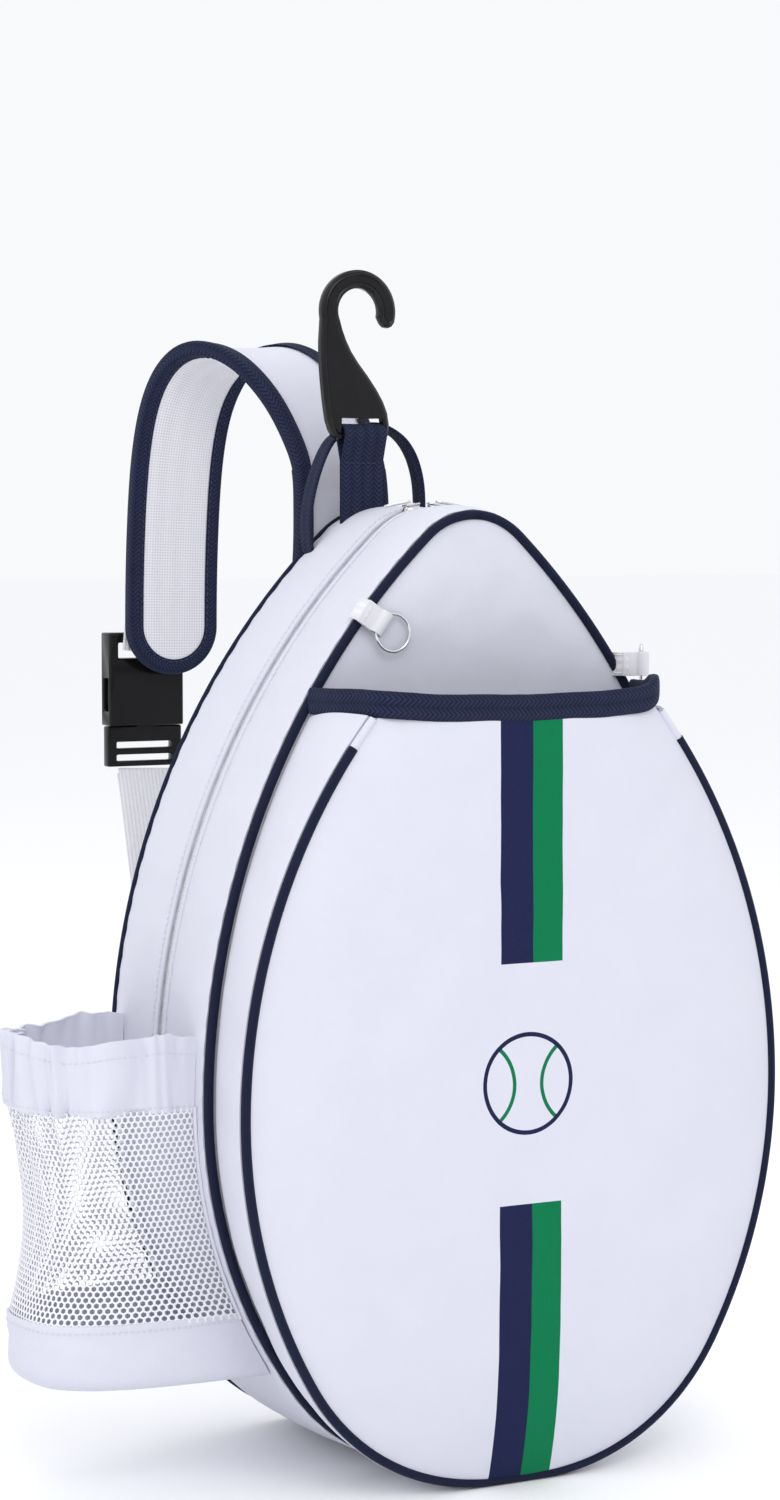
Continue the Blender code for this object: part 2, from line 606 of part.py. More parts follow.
def make_pad():
    ribbon = Ribbon(PAD_ROUTE, 4)
    length = ribbon.length
    full = STRAP_HALF
    end = length - full

    def half(s):
        if s <= end:
            return full
        return max(math.sqrt(max(full ** 2 - (s - end) ** 2, 0.0)), 0.004)

    stations = [end * i / 30 for i in range(31)] + [end + full * math.sin(math.pi / 2 * i / 6) for i in range(1, 7)]
    stations[-1] = end + full * 0.985
    for name, slot, low, high, trim in (("strap_pad", "white_canvas", -PAD_THICK / 2, PAD_THICK / 2, 0.0),
                                        ("strap_lining", "grey_lining", PAD_THICK / 2 + GAP, PAD_THICK / 2 + 0.0013, 0.0035)):
        sections = []
        for s in stations:
            w = max(half(s) - trim, 0.003)
            sections.append([ribbon.point(s, -w, low), ribbon.point(s, w, low),
                             ribbon.point(s, w, high), ribbon.point(s, -w, high)])
        add_object(name, loft(sections), slot, pivot=STRAP_TOP)

    # binding: down one edge, round the end, up the other edge
    edge = [(end * i / 30, -full, (0.0, -1.0)) for i in range(31)]
    edge += [(end + full * math.sin(a), -full * math.cos(a), (math.sin(a), -math.cos(a)))
             for a in [math.pi * i / 14 for i in range(1, 14)]]
    edge += [(end * i / 30, full, (0.0, 1.0)) for i in range(30, -1, -1)]
    sections = []
    tall = PAD_THICK / 2 + 0.0006
    for s, t, (ds, dt) in edge:
        corners = []
        for out, h in ((GAP, -tall), (STRAP_BIND, -tall * 0.6), (STRAP_BIND, tall * 0.6), (GAP, tall)):
            corners.append(ribbon.point(s + ds * out, t + dt * out, h) if s + ds * out <= length
                           else ribbon.point(length, t + dt * out, h) + ribbon.frame(length)[1] * (s + ds * out - length))
        sections.append(corners)
    add_object("strap_binding", loft(sections), "navy_trim", pivot=STRAP_TOP)


def make_buckle():
    """Side-release buckle: a hollow socket above, a plug with two sprung prongs below."""
    cx, cy, cz = BUCKLE
    half_w, half_t = 0.0220, 0.0060
    loop = [(cx - half_w, cy - half_t, cz), (cx + half_w, cy - half_t, cz), (cx + half_w, cy + half_t, cz),
            (cx - half_w, cy + half_t, cz)]
    socket = add_object("buckle_socket", prism(loop, (0, 0, 0.0510)), "black_plastic", pivot=STRAP_TOP)
    cavity = box((cx - 0.0190, cy - 0.0036, cz - 0.002), (cx + 0.0190, cy + 0.0036, cz + 0.0330))
    cut(socket, cutter("cut_socket", cavity))
    window = box((cx - 0.030, cy - 0.0036, cz + 0.0080), (cx + 0.030, cy + 0.0036, cz + 0.0260))
    cut(socket, cutter("cut_windows", window))
    frame = box((cx - 0.0165, cy - 0.010, cz + 0.0370), (cx + 0.0165, cy + 0.010, cz + 0.0455))
    cut(socket, cutter("cut_frame", frame))
    low = cz - 0.0225
    plug_loop = [(cx - half_w, low), (cx + half_w, low), (cx + half_w, cz - GAP), (cx + 0.0050, cz - GAP),
                 (cx + 0.0040, cz + 0.0300), (cx - 0.0040, cz + 0.0300), (cx - 0.0050, cz - GAP), (cx - half_w, cz - GAP)]
    plug = add_object("buckle_plug", prism([(x, cy - 0.0032, z) for x, z in plug_loop], (0, 0.0064, 0)),
                      "black_plastic", pivot=STRAP_TOP)
    for i, z in enumerate((low + 0.0030, low + 0.0100)):
        slot = box((cx - 0.0165, cy - 0.010, z), (cx + 0.0165, cy + 0.010, z + 0.0035))
        cut(plug, cutter("cut_ladder_%d" % i, slot))
    for side, sign in (("left", -1), ("right", 1)):
        points = [(0.0125, 0.0003), (0.0165, 0.0003), (0.0172, 0.0090), (0.0200, 0.0120), (0.0200, 0.0230),
                  (0.0165, 0.0275), (0.0140, 0.0285), (0.0135, 0.0120)]
        prong = [(cx + sign * u, cy - 0.0028, cz + v) for u, v in points]
        add_object("buckle_prong_" + side, prism(prong, (0, 0.0056, 0)), "black_plastic",
                   pivot=(cx + sign * 0.0145, cy, cz + 0.0008))


def make_strap_webbing():
    """Webbing on the pad's outer face into the socket, and from the plug down to the lower anchor."""
    half = 0.0150
    cx, cy, cz = BUCKLE
    y_face = 0.1740 + PAD_THICK / 2 + 0.0014
    upper = [(-0.0660, y_face, 0.4900), (-0.0680, y_face + 0.0006, 0.4600), (-0.0710, y_face + 0.0006, 0.4350),
             (cx + 0.0015, cy - half_reach(), 0.4150), (cx, cy - half_reach(), cz + 0.0400)]
    ribbon = Ribbon(upper, 3)
    add_object("strap_webbing_upper", ribbon.strip(0, ribbon.length, 12, half, -WEBBING / 2, WEBBING / 2),
               "white_webbing", pivot=STRAP_TOP)
    lower = [(cx, cy - 0.0010, cz - 0.0240), (cx - 0.0010, 0.1740, 0.3100), (cx - 0.0040, 0.1480, 0.2450),
             (cx - 0.0080, 0.1200, 0.1760), (cx - 0.0120, 0.0960, 0.1150), STRAP_BOTTOM + SWING * 0.0125,
             STRAP_BOTTOM + SWING * 0.0065, STRAP_BOTTOM + SWING * 0.0005]
    ribbon = Ribbon(lower, 4)
    add_object("strap_webbing_lower", ribbon.strip(0, ribbon.length, 24, half, -WEBBING / 2, WEBBING / 2),
               "white_webbing", pivot=STRAP_TOP)
    tail = ribbon.strip(0.0020, 0.1050, 8, half, -WEBBING * 1.5 - 0.0008, -WEBBING / 2 - 0.0006)
    add_object("strap_webbing_tail", tail, "white_webbing", pivot=STRAP_TOP)
    anchor = [(STRAP_BOTTOM.x - 0.002, 0.0632, 0.0400), (STRAP_BOTTOM.x - 0.002, 0.0650, 0.0520),
              STRAP_BOTTOM - SWING * 0.0090, STRAP_BOTTOM - SWING * 0.0046, STRAP_BOTTOM - SWING * 0.0002]
    ribbon = Ribbon(anchor, 3)
    add_object("strap_anchor", ribbon.strip(0, ribbon.length, 9, half + 0.003, -0.0015, 0.0015), "white_canvas")


def half_reach():
    """How far the upper webbing lies from the buckle's middle plane."""
    return 0.0060 + GAP + WEBBING / 2


def main():
    clear_scene()
    make_flat_panels()
    make_gussets()
    make_pipings()
    make_racket_pocket()
    make_base_board()
    make_bottle_pocket()
    make_hook_tab()
    make_fence_hook()
    make_grab_handle()
    make_ring_set("left", (-0.0640, 0.4290), math.radians(-35), 0.0)
    make_ring_set("right", (0.0835, 0.4000), 0.0, math.radians(61))
    make_zip_sliders()
    make_strap_base()
    make_pad()
    make_buckle()
    make_strap_webbing()


main()
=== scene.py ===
"""Looks of the racket sling backpack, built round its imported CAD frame.

Metres. +Z is up, -Y is the front with the racket pocket, +Y is the wearer's side and +X is the
wearer's right.
"""

import json
import math

import bmesh
import bpy
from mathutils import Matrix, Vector, noise


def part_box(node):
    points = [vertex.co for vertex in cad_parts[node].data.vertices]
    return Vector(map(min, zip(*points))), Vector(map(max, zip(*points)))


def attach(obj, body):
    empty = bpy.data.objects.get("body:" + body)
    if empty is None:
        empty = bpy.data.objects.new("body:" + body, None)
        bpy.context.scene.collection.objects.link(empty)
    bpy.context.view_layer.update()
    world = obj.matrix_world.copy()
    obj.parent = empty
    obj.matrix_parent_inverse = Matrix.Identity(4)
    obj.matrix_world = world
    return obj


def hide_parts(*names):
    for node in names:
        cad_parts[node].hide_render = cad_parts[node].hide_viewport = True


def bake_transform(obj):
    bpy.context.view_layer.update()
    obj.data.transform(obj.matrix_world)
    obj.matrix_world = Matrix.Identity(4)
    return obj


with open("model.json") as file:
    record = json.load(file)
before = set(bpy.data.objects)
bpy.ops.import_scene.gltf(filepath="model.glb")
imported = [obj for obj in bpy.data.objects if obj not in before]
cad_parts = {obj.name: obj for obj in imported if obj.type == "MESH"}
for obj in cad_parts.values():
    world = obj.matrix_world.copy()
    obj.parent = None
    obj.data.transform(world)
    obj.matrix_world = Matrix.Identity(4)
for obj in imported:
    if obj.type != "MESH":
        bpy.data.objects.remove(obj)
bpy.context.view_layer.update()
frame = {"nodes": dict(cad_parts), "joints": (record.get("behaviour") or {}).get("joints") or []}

X_AXIS = Vector((1, 0, 0))
Y_AXIS = Vector((0, 1, 0))
Z_AXIS = Vector((0, 0, 1))
TAU = 2 * math.pi


def round_angles(count):
    """Equal angles round a circle."""
    return [TAU * j / count for j in range(count)]


def squarish(value, power):
    """A cosine or sine pushed out towards a square's, with its sign kept."""
    return math.copysign(abs(value) ** power, value)


def new_object(name, data):
    """A new object in the scene."""
    obj = bpy.data.objects.new(name, data)
    bpy.context.scene.collection.objects.link(obj)
    return obj


def mesh_object(name, bm):
    """A new mesh object from a bmesh, which is used up."""
    mesh = bpy.data.meshes.new(name)
    bm.to_mesh(mesh)
    bm.free()
    return new_object(name, mesh)


# ---- sizes taken from the frame --------------------------------------------------------------
SEAM = 0.0002             # the pipings lie this far inside the outlines
PIPE_R = (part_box("piping_front")[1].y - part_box("piping_front")[0].y) / 2
PIPE_R_REAR = (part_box("piping_rear")[1].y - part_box("piping_rear")[0].y) / 2
BODY_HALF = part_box("piping_front")[1].x + SEAM
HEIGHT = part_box("piping_front")[1].z + SEAM
POCKET_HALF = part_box("racket_pocket_gusset")[1].x
Y_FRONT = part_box("piping_front")[0].y + PIPE_R
Y_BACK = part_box("piping_rear")[0].y + PIPE_R_REAR
Y_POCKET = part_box("piping_pocket")[0].y + PIPE_R
POCKET_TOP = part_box("racket_pocket_panel")[1].z
BINDING_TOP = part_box("racket_pocket_binding")[1].z
# ---- arcs of the two outlines ----------------------------------------------------------------
WIDE_Z = 0.190
TOP_R = 0.040
BODY_LOW_R = 0.106
POCKET_LOW_R = 0.116
POCKET_SIDE_R = 0.300
BASE_HALF = 0.014
POCKET_DOME = 0.012
CLOTH = 0.0016
# ---- shoulder strap --------------------------------------------------------------------------
STRAP_HALF = 0.0235
PAD_THICK = 0.006
WEBBING = 0.0018
CENTRE_X = -0.006
BUCKLE = Vector((-0.0755, 0.1864, 0.3610))
STRAP_TOP = Vector((-0.0075, 0.0785, 0.4885))
STRAP_BOTTOM = Vector((-0.0905, 0.0800, 0.0775))
SWING = (STRAP_TOP - STRAP_BOTTOM).normalized()


# ---- procedural materials --------------------------------------------------------------------
class Shader:
    """A node material with short calls for the nodes that the fabrics share."""

    def __init__(self, name, colour, roughness, metallic=0.0, sheen=0.0):
        self.material = bpy.data.materials.new(name)
        self.material.use_nodes = True
        self.tree = self.material.node_tree
        self.shader = self.tree.nodes["Principled BSDF"]
        self.shader.inputs["Base Color"].default_value = (*colour, 1.0)
        self.shader.inputs["Roughness"].default_value = roughness
        self.shader.inputs["Metallic"].default_value = metallic
        self.shader.inputs["Sheen Weight"].default_value = sheen
        self.shader.inputs["Specular IOR Level"].default_value = 0.08 if sheen else 0.5
        self.shader.inputs["Sheen Roughness"].default_value = 0.5
        self.bump_socket = None

    def link(self, source, target):
        if isinstance(source, (int, float)):
            target.default_value = source
        else:
            self.tree.links.new(source, target)

    def node(self, kind, **values):
        made = self.tree.nodes.new(kind)
        for key, value in values.items():
            setattr(made, key, value)
        return made

    def math(self, operation, a, b=0.0, c=0.0, clamp=False):
        made = self.node("ShaderNodeMath", operation=operation, use_clamp=clamp)
        for value, socket in zip((a, b, c), made.inputs):
            self.link(value, socket)
        return made.outputs[0]

    def times(self, a, b, clamp=False):
        return self.math("MULTIPLY", a, b, clamp=clamp)

    def plus(self, a, b, clamp=False):
        return self.math("ADD", a, b, clamp=clamp)

    def minus(self, a, b):
        return self.math("SUBTRACT", a, b)

    def over(self, a, b):
        return self.math("DIVIDE", a, b)

    def ridge(self, value, half):
        """A zigzag between 0 and 1 that turns back each half pitch."""
        return self.over(self.math("PINGPONG", value, half), half)

    def lay(self):
        """Distances along and across the cloth, in metres."""
        made = self.node("ShaderNodeAttribute", attribute_name="lay")
        split = self.node("ShaderNodeSeparateXYZ")
        self.link(made.outputs["Vector"], split.inputs[0])
        return split.outputs[0], split.outputs[1]

    def place(self):
        """The point on the object, in metres."""
        made = self.node("ShaderNodeTexCoord")
        split = self.node("ShaderNodeSeparateXYZ")
        self.link(made.outputs["Object"], split.inputs[0])
        return made.outputs["Object"], split.outputs

    def noise(self, scale, detail=3.0, roughness=0.55):
        made = self.node("ShaderNodeTexNoise")
        made.inputs["Scale"].default_value = scale
        made.inputs["Detail"].default_value = detail
        made.inputs["Roughness"].default_value = roughness
        self.link(self.place()[0], made.inputs["Vector"])
        return made.outputs[0]

    def mix(self, factor, a, b):
        made = self.node("ShaderNodeMix", data_type="RGBA")
        self.link(factor, made.inputs["Factor"])
        for value, socket in ((a, made.inputs["A"]), (b, made.inputs["B"])):
            if isinstance(value, tuple):
                socket.default_value = (*value, 1.0)
            else:
                self.link(value, socket)
        return made.outputs["Result"]

    def colour(self, socket):
        self.link(socket, self.shader.inputs["Base Color"])

    def bump(self, height, distance, strength=1.0):
        made = self.node("ShaderNodeBump")
        made.inputs["Distance"].default_value = distance
        made.inputs["Strength"].default_value = strength
        self.link(height, made.inputs["Height"])
        if self.bump_socket is not None:
            self.link(self.bump_socket, made.inputs["Normal"])
        self.bump_socket = made.outputs[0]
        self.link(self.bump_socket, self.shader.inputs["Normal"])


WHITE = (0.700, 0.705, 0.790)
WHITE_SHADE = (0.600, 0.605, 0.695)
NAVY = (0.0042, 0.0062, 0.0215)
# Lighter navy colours for the piping and the tape: painted highlight on the thread tops, and the
# pale end of their random tone.
NAVY_HIGHLIGHT_AND_TONE = (0.022, 0.028, 0.064)
TAPE_HIGHLIGHT_AND_TONE = (0.030, 0.038, 0.082)
GREEN = (0.0, 0.165, 0.060)
STRIPE_NAVY = (0.009, 0.0125, 0.050)
BALL_Z = 0.2000
BALL_R = 0.0240


def twill(shader, pitch=0.0007):
    """Fine diagonal ribs with a thread break across them."""
    along, across = shader.lay()
    ribs = shader.math("PINGPONG", shader.plus(along, across), pitch / 2)
    threads = shader.math("PINGPONG", shader.minus(along, shader.times(across, 0.35)), pitch / 2)
    return shader.plus(shader.over(ribs, pitch / 2),
                       shader.times(shader.over(threads, pitch / 2), 0.4))


def canvas_base(name):
    shader = Shader(name, WHITE, 0.62, sheen=0.04)
    weave = twill(shader)
    tone = shader.math("MULTIPLY_ADD", shader.noise(28.0), 0.45, shader.times(weave, 0.18),
                       clamp=True)
    cloth = shader.mix(tone, WHITE, WHITE_SHADE)
    shader.bump(weave, 0.00018, 0.5)
    shader.bump(shader.noise(55.0, 4.0), 0.0012, 0.35)
    rough = shader.math("MULTIPLY_ADD", shader.noise(400.0), 0.2, 0.5)
    shader.link(rough, shader.shader.inputs["Roughness"])
    return shader, cloth


def make_canvas():
    shader, cloth = canvas_base("white_canvas_twill")
    shader.colour(cloth)
    return shader.material


def inside(shader, value, low, high):
    """1 where a value lies between two limits."""
    middle, half = (low + high) / 2, (high - low) / 2
    return shader.math("COMPARE", value, middle, half)


def make_printed_canvas():
    """The racket pocket's front: two upright stripes, broken for a plain ball motif."""
    shader, cloth = canvas_base("printed_canvas")
    _, (x, _, z) = shader.place()
    bands = shader.plus(inside(shader, z, -0.02, 0.141), inside(shader, z, 0.259, 0.42), clamp=True)
    navy = shader.times(bands, inside(shader, x, -0.0180, 0.0))
    green = shader.times(bands, inside(shader, x, 0.0, 0.0165))
    dx, dz = shader.plus(x, 0.0020), shader.minus(z, BALL_Z)

    def ring(cx, radius, width):
        away = shader.minus(dx, cx)
        far = shader.math("SQRT", shader.plus(shader.times(away, away),
                                              shader.times(dz, dz)))
        return inside(shader, far, radius - width / 2, radius + width / 2), far

    rim, far = ring(0.0, BALL_R, 0.0022)
    within = shader.math("LESS_THAN", far, BALL_R)
    left = shader.times(ring(-0.0300, 0.0225, 0.0020)[0], within)
    right = shader.times(ring(0.0300, 0.0225, 0.0020)[0], within)
    navy = shader.plus(navy, rim, clamp=True)
    green = shader.plus(green, shader.plus(left, right), clamp=True)
    wear = shader.noise(900.0, 2.0)
    ink = shader.mix(wear, STRIPE_NAVY, tuple(1.5 * c for c in STRIPE_NAVY))
    leaf = shader.mix(wear, GREEN, (0.002, 0.188, 0.072))
    shader.colour(shader.mix(navy, shader.mix(green, cloth, leaf), ink))
    return shader.material


def herringbone(name, dark, light, pitch, column, roughness=0.72, depth=0.00035):
    """Woven tape: slanting threads that turn back at each column, with painted shade in the grooves
    and painted highlights on the thread tops.
    """
    shader = Shader(name, dark, roughness, sheen=0.03)
    along, across = shader.lay()
    slant = shader.plus(along, shader.math("PINGPONG", across, column))
    thread = shader.ridge(slant, pitch / 2)
    groove = shader.ridge(across, column)
    height = shader.times(thread, shader.math("POWER", shader.math("MAXIMUM", groove, 0.02), 0.25))
    # Painted shade and highlight: the colour follows the thread height, darker in the grooves and
    # lighter on the thread tops, plus some random tone from noise.
    groove_shade_and_tone = shader.math("MULTIPLY_ADD", shader.noise(160.0), 0.25, shader.times(height, 0.8),
                        clamp=True)
    shader.colour(shader.mix(groove_shade_and_tone, dark, light))
    shader.bump(height, depth, 0.9)
    shader.bump(shader.noise(900.0, 2.0), 0.0003, 0.25)
    return shader.material


def make_webbing():
    """White ribbed webbing: close cross threads and a few long ribs."""
    shader = Shader("white_ribbed_webbing", (0.76, 0.76, 0.80), 0.6, sheen=0.2)
    along, across = shader.lay()
    cross = shader.ridge(along, 0.0005)
    rib = shader.ridge(across, 0.0011)
    height = shader.math("MULTIPLY_ADD", cross, 0.4, rib)
    # Painted shade: the colour follows the weave height, darker in the grooves between the cross
    # threads and ribs and lighter on their tops.
    shader.colour(shader.mix(shader.times(height, 0.5, clamp=True), (0.66, 0.66, 0.70),
                             (0.80, 0.80, 0.83)))
    shader.bump(height, 0.00035, 0.8)
    return shader.material


def make_air_mesh():
    """Spacer mesh: soft staggered dimples in a pale knit."""
    shader = Shader("air_mesh", (0.70, 0.70, 0.74), 0.8, sheen=0.4)
    along, across = shader.lay()
    pitch = 0.0030
    a = shader.math("SINE", shader.times(shader.plus(along, across), TAU / pitch))
    b = shader.math("SINE", shader.times(shader.minus(along, across), TAU / pitch))
    dimple = shader.math("MULTIPLY_ADD", shader.times(a, b), 0.5, 0.5)
    # Painted shade: the colour darkens in the pressed-in dimples, from the same field that drives
    # the bump.
    shader.colour(shader.mix(shader.math("POWER", dimple, 1.5), (0.80, 0.80, 0.83),
                             (0.55, 0.545, 0.60)))
    shader.bump(dimple, 0.0008, -0.8)
    shader.bump(shader.noise(1500.0, 2.0), 0.0002, 0.4)
    return shader.material


def make_net():
    shader = Shader("white_net", (0.82, 0.82, 0.86), 0.7, sheen=0.2)
    tone = shader.noise(600.0)
    shader.colour(shader.mix(tone, (0.84, 0.84, 0.88), (0.74, 0.74, 0.79)))
    shader.bump(tone, 0.0002, 0.5)
    return shader.material


def make_plastic():
    """Moulded black plastic with a faint orange-peel and scuffs."""
    shader = Shader("black_moulding", (0.004, 0.004, 0.005), 0.3)
    shader.shader.inputs["Specular IOR Level"].default_value = 0.24
    scuff = shader.noise(90.0, 5.0)
    shader.link(shader.math("MULTIPLY_ADD", scuff, 0.14, 0.08), shader.shader.inputs["Roughness"])
    shader.colour(shader.mix(scuff, (0.003, 0.003, 0.0035), (0.008, 0.008, 0.009)))
    shader.bump(shader.noise(1200.0, 2.0), 0.00005, 0.15)
    return shader.material


def make_steel():
    shader = Shader("nickel_steel", (0.72, 0.72, 0.74), 0.2, metallic=1.0)
    brushed = shader.noise(700.0, 2.0)
    shader.link(shader.math("MULTIPLY_ADD", brushed, 0.16, 0.12), shader.shader.inputs["Roughness"])
    shader.colour(shader.mix(brushed, (0.78, 0.78, 0.80), (0.62, 0.62, 0.65)))
    return shader.material


def make_board():
    shader = Shader("stiffener_board", (0.30, 0.30, 0.32), 0.6)
    grain = shader.noise(200.0)
    shader.colour(shader.mix(grain, (0.33, 0.33, 0.35), (0.25, 0.25, 0.27)))
    shader.bump(grain, 0.0003, 0.4)
    return shader.material


def make_thread(name, colour):
    shader = Shader(name, colour, 0.6, sheen=0.3)
    twist = shader.noise(2500.0, 1.0)
    shader.colour(shader.mix(twist, colour, tuple(0.8 * c for c in colour)))
    shader.bump(twist, 0.0001, 0.5)
    return shader.material


LOOKS = {
    "canvas": ("white_canvas", make_canvas()),
    "printed": ("white_canvas", make_printed_canvas()),
    "tape": ("navy_trim", herringbone("navy_herringbone_tape", NAVY, TAPE_HIGHLIGHT_AND_TONE, 0.0024, 0.0032)),
    "cord": ("navy_trim", herringbone("navy_piping_bias", NAVY, NAVY_HIGHLIGHT_AND_TONE, 0.0012, 0.0400)),
    "webbing": ("white_webbing", make_webbing()),
    "lining": ("grey_lining", make_air_mesh()),
    "net": ("white_mesh", make_net()),
    "plastic": ("black_plastic", make_plastic()),
    "steel": ("steel", make_steel()),
    "board": ("board", make_board()),
    "white_thread": ("white_webbing", make_thread("white_thread", (0.72, 0.72, 0.77))),
    "navy_thread": ("navy_trim", make_thread("navy_thread", (0.030, 0.038, 0.095))),
}


# ---- mesh helpers ----------------------------------------------------------------------------
def settle(name, bm, look, body, stands_for=()):
    """A finished piece from a bmesh in world coordinates, riding on its body."""
    bmesh.ops.recalc_face_normals(bm, faces=bm.faces)
    obj = mesh_object(name, bm)
    obj.data.shade_smooth()
    obj.data.set_sharp_from_angle(angle=math.radians(50))
    return dress(obj, look, body, stands_for)


def dress(obj, look, body, stands_for=()):
    slot, material = LOOKS[look]
    obj.data.materials.clear()
    obj.data.materials.append(material)
    if body is not None:
        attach(obj, body)
    if stands_for:
        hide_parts(*stands_for)
    return obj


def shell(name, grid, lays, thick, look, body, stands_for=(), outward=None, closed=False):
    """A sheet with thickness: outer points, and the same grid moved in along its normals."""
    rows, cols = len(grid), len(grid[0])
    inner = []
    for i in range(rows):
        up = grid[(i + 1) % rows] if closed else grid[min(i + 1, rows - 1)]
        down = grid[i - 1] if closed else grid[max(i - 1, 0)]
        line = []
        for j in range(cols):
            across = grid[i][min(j + 1, cols - 1)] - grid[i][max(j - 1, 0)]
            normal = (up[j] - down[j]).cross(across)
            if normal.length < 1e-12:
                normal = outward(grid[i][j])
            normal.normalize()
            if normal.dot(outward(grid[i][j])) < 0:
                normal = -normal
            line.append(grid[i][j] - normal * thick)
        inner.append(line)
    bm = bmesh.new()
    lay = bm.verts.layers.float_vector.new("lay")
    sides = []
    for points in (grid, inner):
        verts = []
        for i in range(rows):
            line = []
            for j in range(cols):
                vert = bm.verts.new(points[i][j])
                vert[lay] = (*lays[i][j], 0.0)
                line.append(vert)
            verts.append(line)
        sides.append(verts)
    last = rows if closed else rows - 1
    for verts in sides:
        for i in range(last):
            k = (i + 1) % rows
            for j in range(cols - 1):
                bm.faces.new((verts[i][j], verts[i][j + 1], verts[k][j + 1], verts[k][j]))
    outer, back = sides
    for j in (0, cols - 1):
        for i in range(last):
            k = (i + 1) % rows
            bm.faces.new((outer[i][j], outer[k][j], back[k][j], back[i][j]))
    if not closed:
        for i in (0, rows - 1):
            for j in range(cols - 1):
                bm.faces.new((outer[i][j], outer[i][j + 1], back[i][j + 1], back[i][j]))
    return settle(name, bm, look, body, stands_for)


def sweep(name, rings, lays, look, body, stands_for=(), closed=False):
    """A solid through equal rings of points; open ends are capped."""
    bm = bmesh.new()
    lay = bm.verts.layers.float_vector.new("lay")
    verts = []
    for ring, marks in zip(rings, lays):
        line = []
        for point, mark in zip(ring, marks):
            vert = bm.verts.new(point)
            vert[lay] = (*mark, 0.0)
            line.append(vert)
        verts.append(line)
    count = len(rings[0])
    last = len(rings) if closed else len(rings) - 1
    for i in range(last):
        a, b = verts[i], verts[(i + 1) % len(rings)]
        for j in range(count):
            k = (j + 1) % count
            bm.faces.new((a[j], a[k], b[k], b[j]))
    if not closed:
        bm.faces.new(verts[0])
        bm.faces.new(verts[-1])
    return settle(name, bm, look, body, stands_for)


def lengths_of(points):
    total = [0.0]
    for a, b in zip(points, points[1:]):
        total.append(total[-1] + (b - a).length)
    return total


def resample(points, count):
    """Equal steps along a line of points."""
    points = [Vector(p) for p in points]
    marks = lengths_of(points)
    made = []
    k = 0
    for i in range(count + 1):
        want = marks[-1] * i / count
        while k < len(marks) - 2 and marks[k + 1] < want:
            k += 1
        span = max(marks[k + 1] - marks[k], 1e-9)
        made.append(points[k].lerp(points[k + 1], (want - marks[k]) / span))
    return made


def smooth_path(points, steps):
    """Catmull-Rom points through a list, steps to each span."""
    pts = [Vector(p) for p in points]
    pts = [2 * pts[0] - pts[1]] + pts + [2 * pts[-1] - pts[-2]]
    path = []
    for i in range(1, len(pts) - 2):
        a, b, c, d = pts[i - 1:i + 3]
        for k in range(steps):
            t = k / steps
            path.append(0.5 * (2 * b + (c - a) * t + (2 * a - 5 * b + 4 * c - d) * t * t
                               + (3 * b - 3 * c + d - a) * t ** 3))
    path.append(pts[-2])
    return path


def tube(name, path, radius, sides, look, body, stands_for=(), closed=False, flat=1.0):
    """A round or flattened cord along a path."""
    rings, lays = [], []
    count = len(path)
    marks = lengths_of(path)
    normal = None
    for i, point in enumerate(path):
        before = path[i - 1] if closed or i else path[i]
        after = path[(i + 1) % count] if closed or i < count - 1 else path[i]
        along = (after - before).normalized()
        if normal is None:
            normal = Y_AXIS if abs(along.y) < 0.9 else X_AXIS
        normal = (normal - along * normal.dot(along)).normalized()
        side = along.cross(normal)
        angles = round_angles(sides)
        rings.append([point + normal * radius * math.cos(a) + side * radius * flat * math.sin(a)
                      for a in angles])
        lays.append([(marks[i], radius * a) for a in angles])
    return sweep(name, rings, lays, look, body, stands_for, closed)


def stitches(name, path, normals, look, body, pitch=0.0034, share=0.68, radius=0.00026):
    """A row of short threads lying on a surface."""
    marks = lengths_of(path)
    bm = bmesh.new()
    bm.verts.layers.float_vector.new("lay")
    count = int(marks[-1] / pitch)

    def at(want):
        k = 0
        while k < len(marks) - 2 and marks[k + 1] < want:
            k += 1
        t = (want - marks[k]) / max(marks[k + 1] - marks[k], 1e-9)
        return path[k].lerp(path[k + 1], t), normals[k].lerp(normals[k + 1], t).normalized()

    for i in range(count):
        start, stop = (i + 0.5 - share / 2) * pitch, (i + 0.5 + share / 2) * pitch
        (a, up), (b, _) = at(start), at(stop)
        along = (b - a).normalized()
        side = along.cross(up).normalized()
        rings = []
        for t, size, lift in ((0.0, 0.3, -0.4), (0.15, 0.9, 0.3), (0.5, 1.0, 0.6), (0.85, 0.9, 0.3),
                              (1.0, 0.3, -0.4)):
            centre = a.lerp(b, t) + up * radius * lift
            rings.append([bm.verts.new(
                centre + (side * math.cos(q) + up * math.sin(q)) * radius * size)
                          for q in round_angles(5)])
        for one, two in zip(rings, rings[1:]):
            for j in range(5):
                k = (j + 1) % 5
                bm.faces.new((one[j], one[k], two[k], two[j]))
        bm.faces.new(rings[0])
        bm.faces.new(rings[-1])
    return settle(name, bm, look, body)


def ruffle(point, scale, seed=0.0):
    """Smooth signed noise, about -1 to 1."""
    return noise.fractal(Vector(point) * scale + Vector((seed, 0, 0)), 1.0, 2.0, 3)


# ---- outlines --------------------------------------------------------------------------------
def arc(cx, cz, radius, start, stop, count):
    return [Vector((cx + radius * math.cos(start + (stop - start) * i / count), 0,
                    cz + radius * math.sin(start + (stop - start) * i / count)))
                    for i in range(count + 1)]


def low_side(half, low_r):
    """Right-hand outline from the middle of the base up to the widest place."""
    rise = WIDE_Z - low_r
    side_r = ((half - BASE_HALF) ** 2 + rise ** 2 - low_r ** 2) / (2 * (half - BASE_HALF - low_r))
    turn = math.atan2(rise, BASE_HALF - (half - side_r))
    points = [Vector((BASE_HALF * i / 4, 0, 0)) for i in range(4)]
    points += arc(BASE_HALF, low_r, low_r, -math.pi / 2, -turn, 40)
    return points + arc(half - side_r, WIDE_Z, side_r, -turn, 0, 24)[1:]


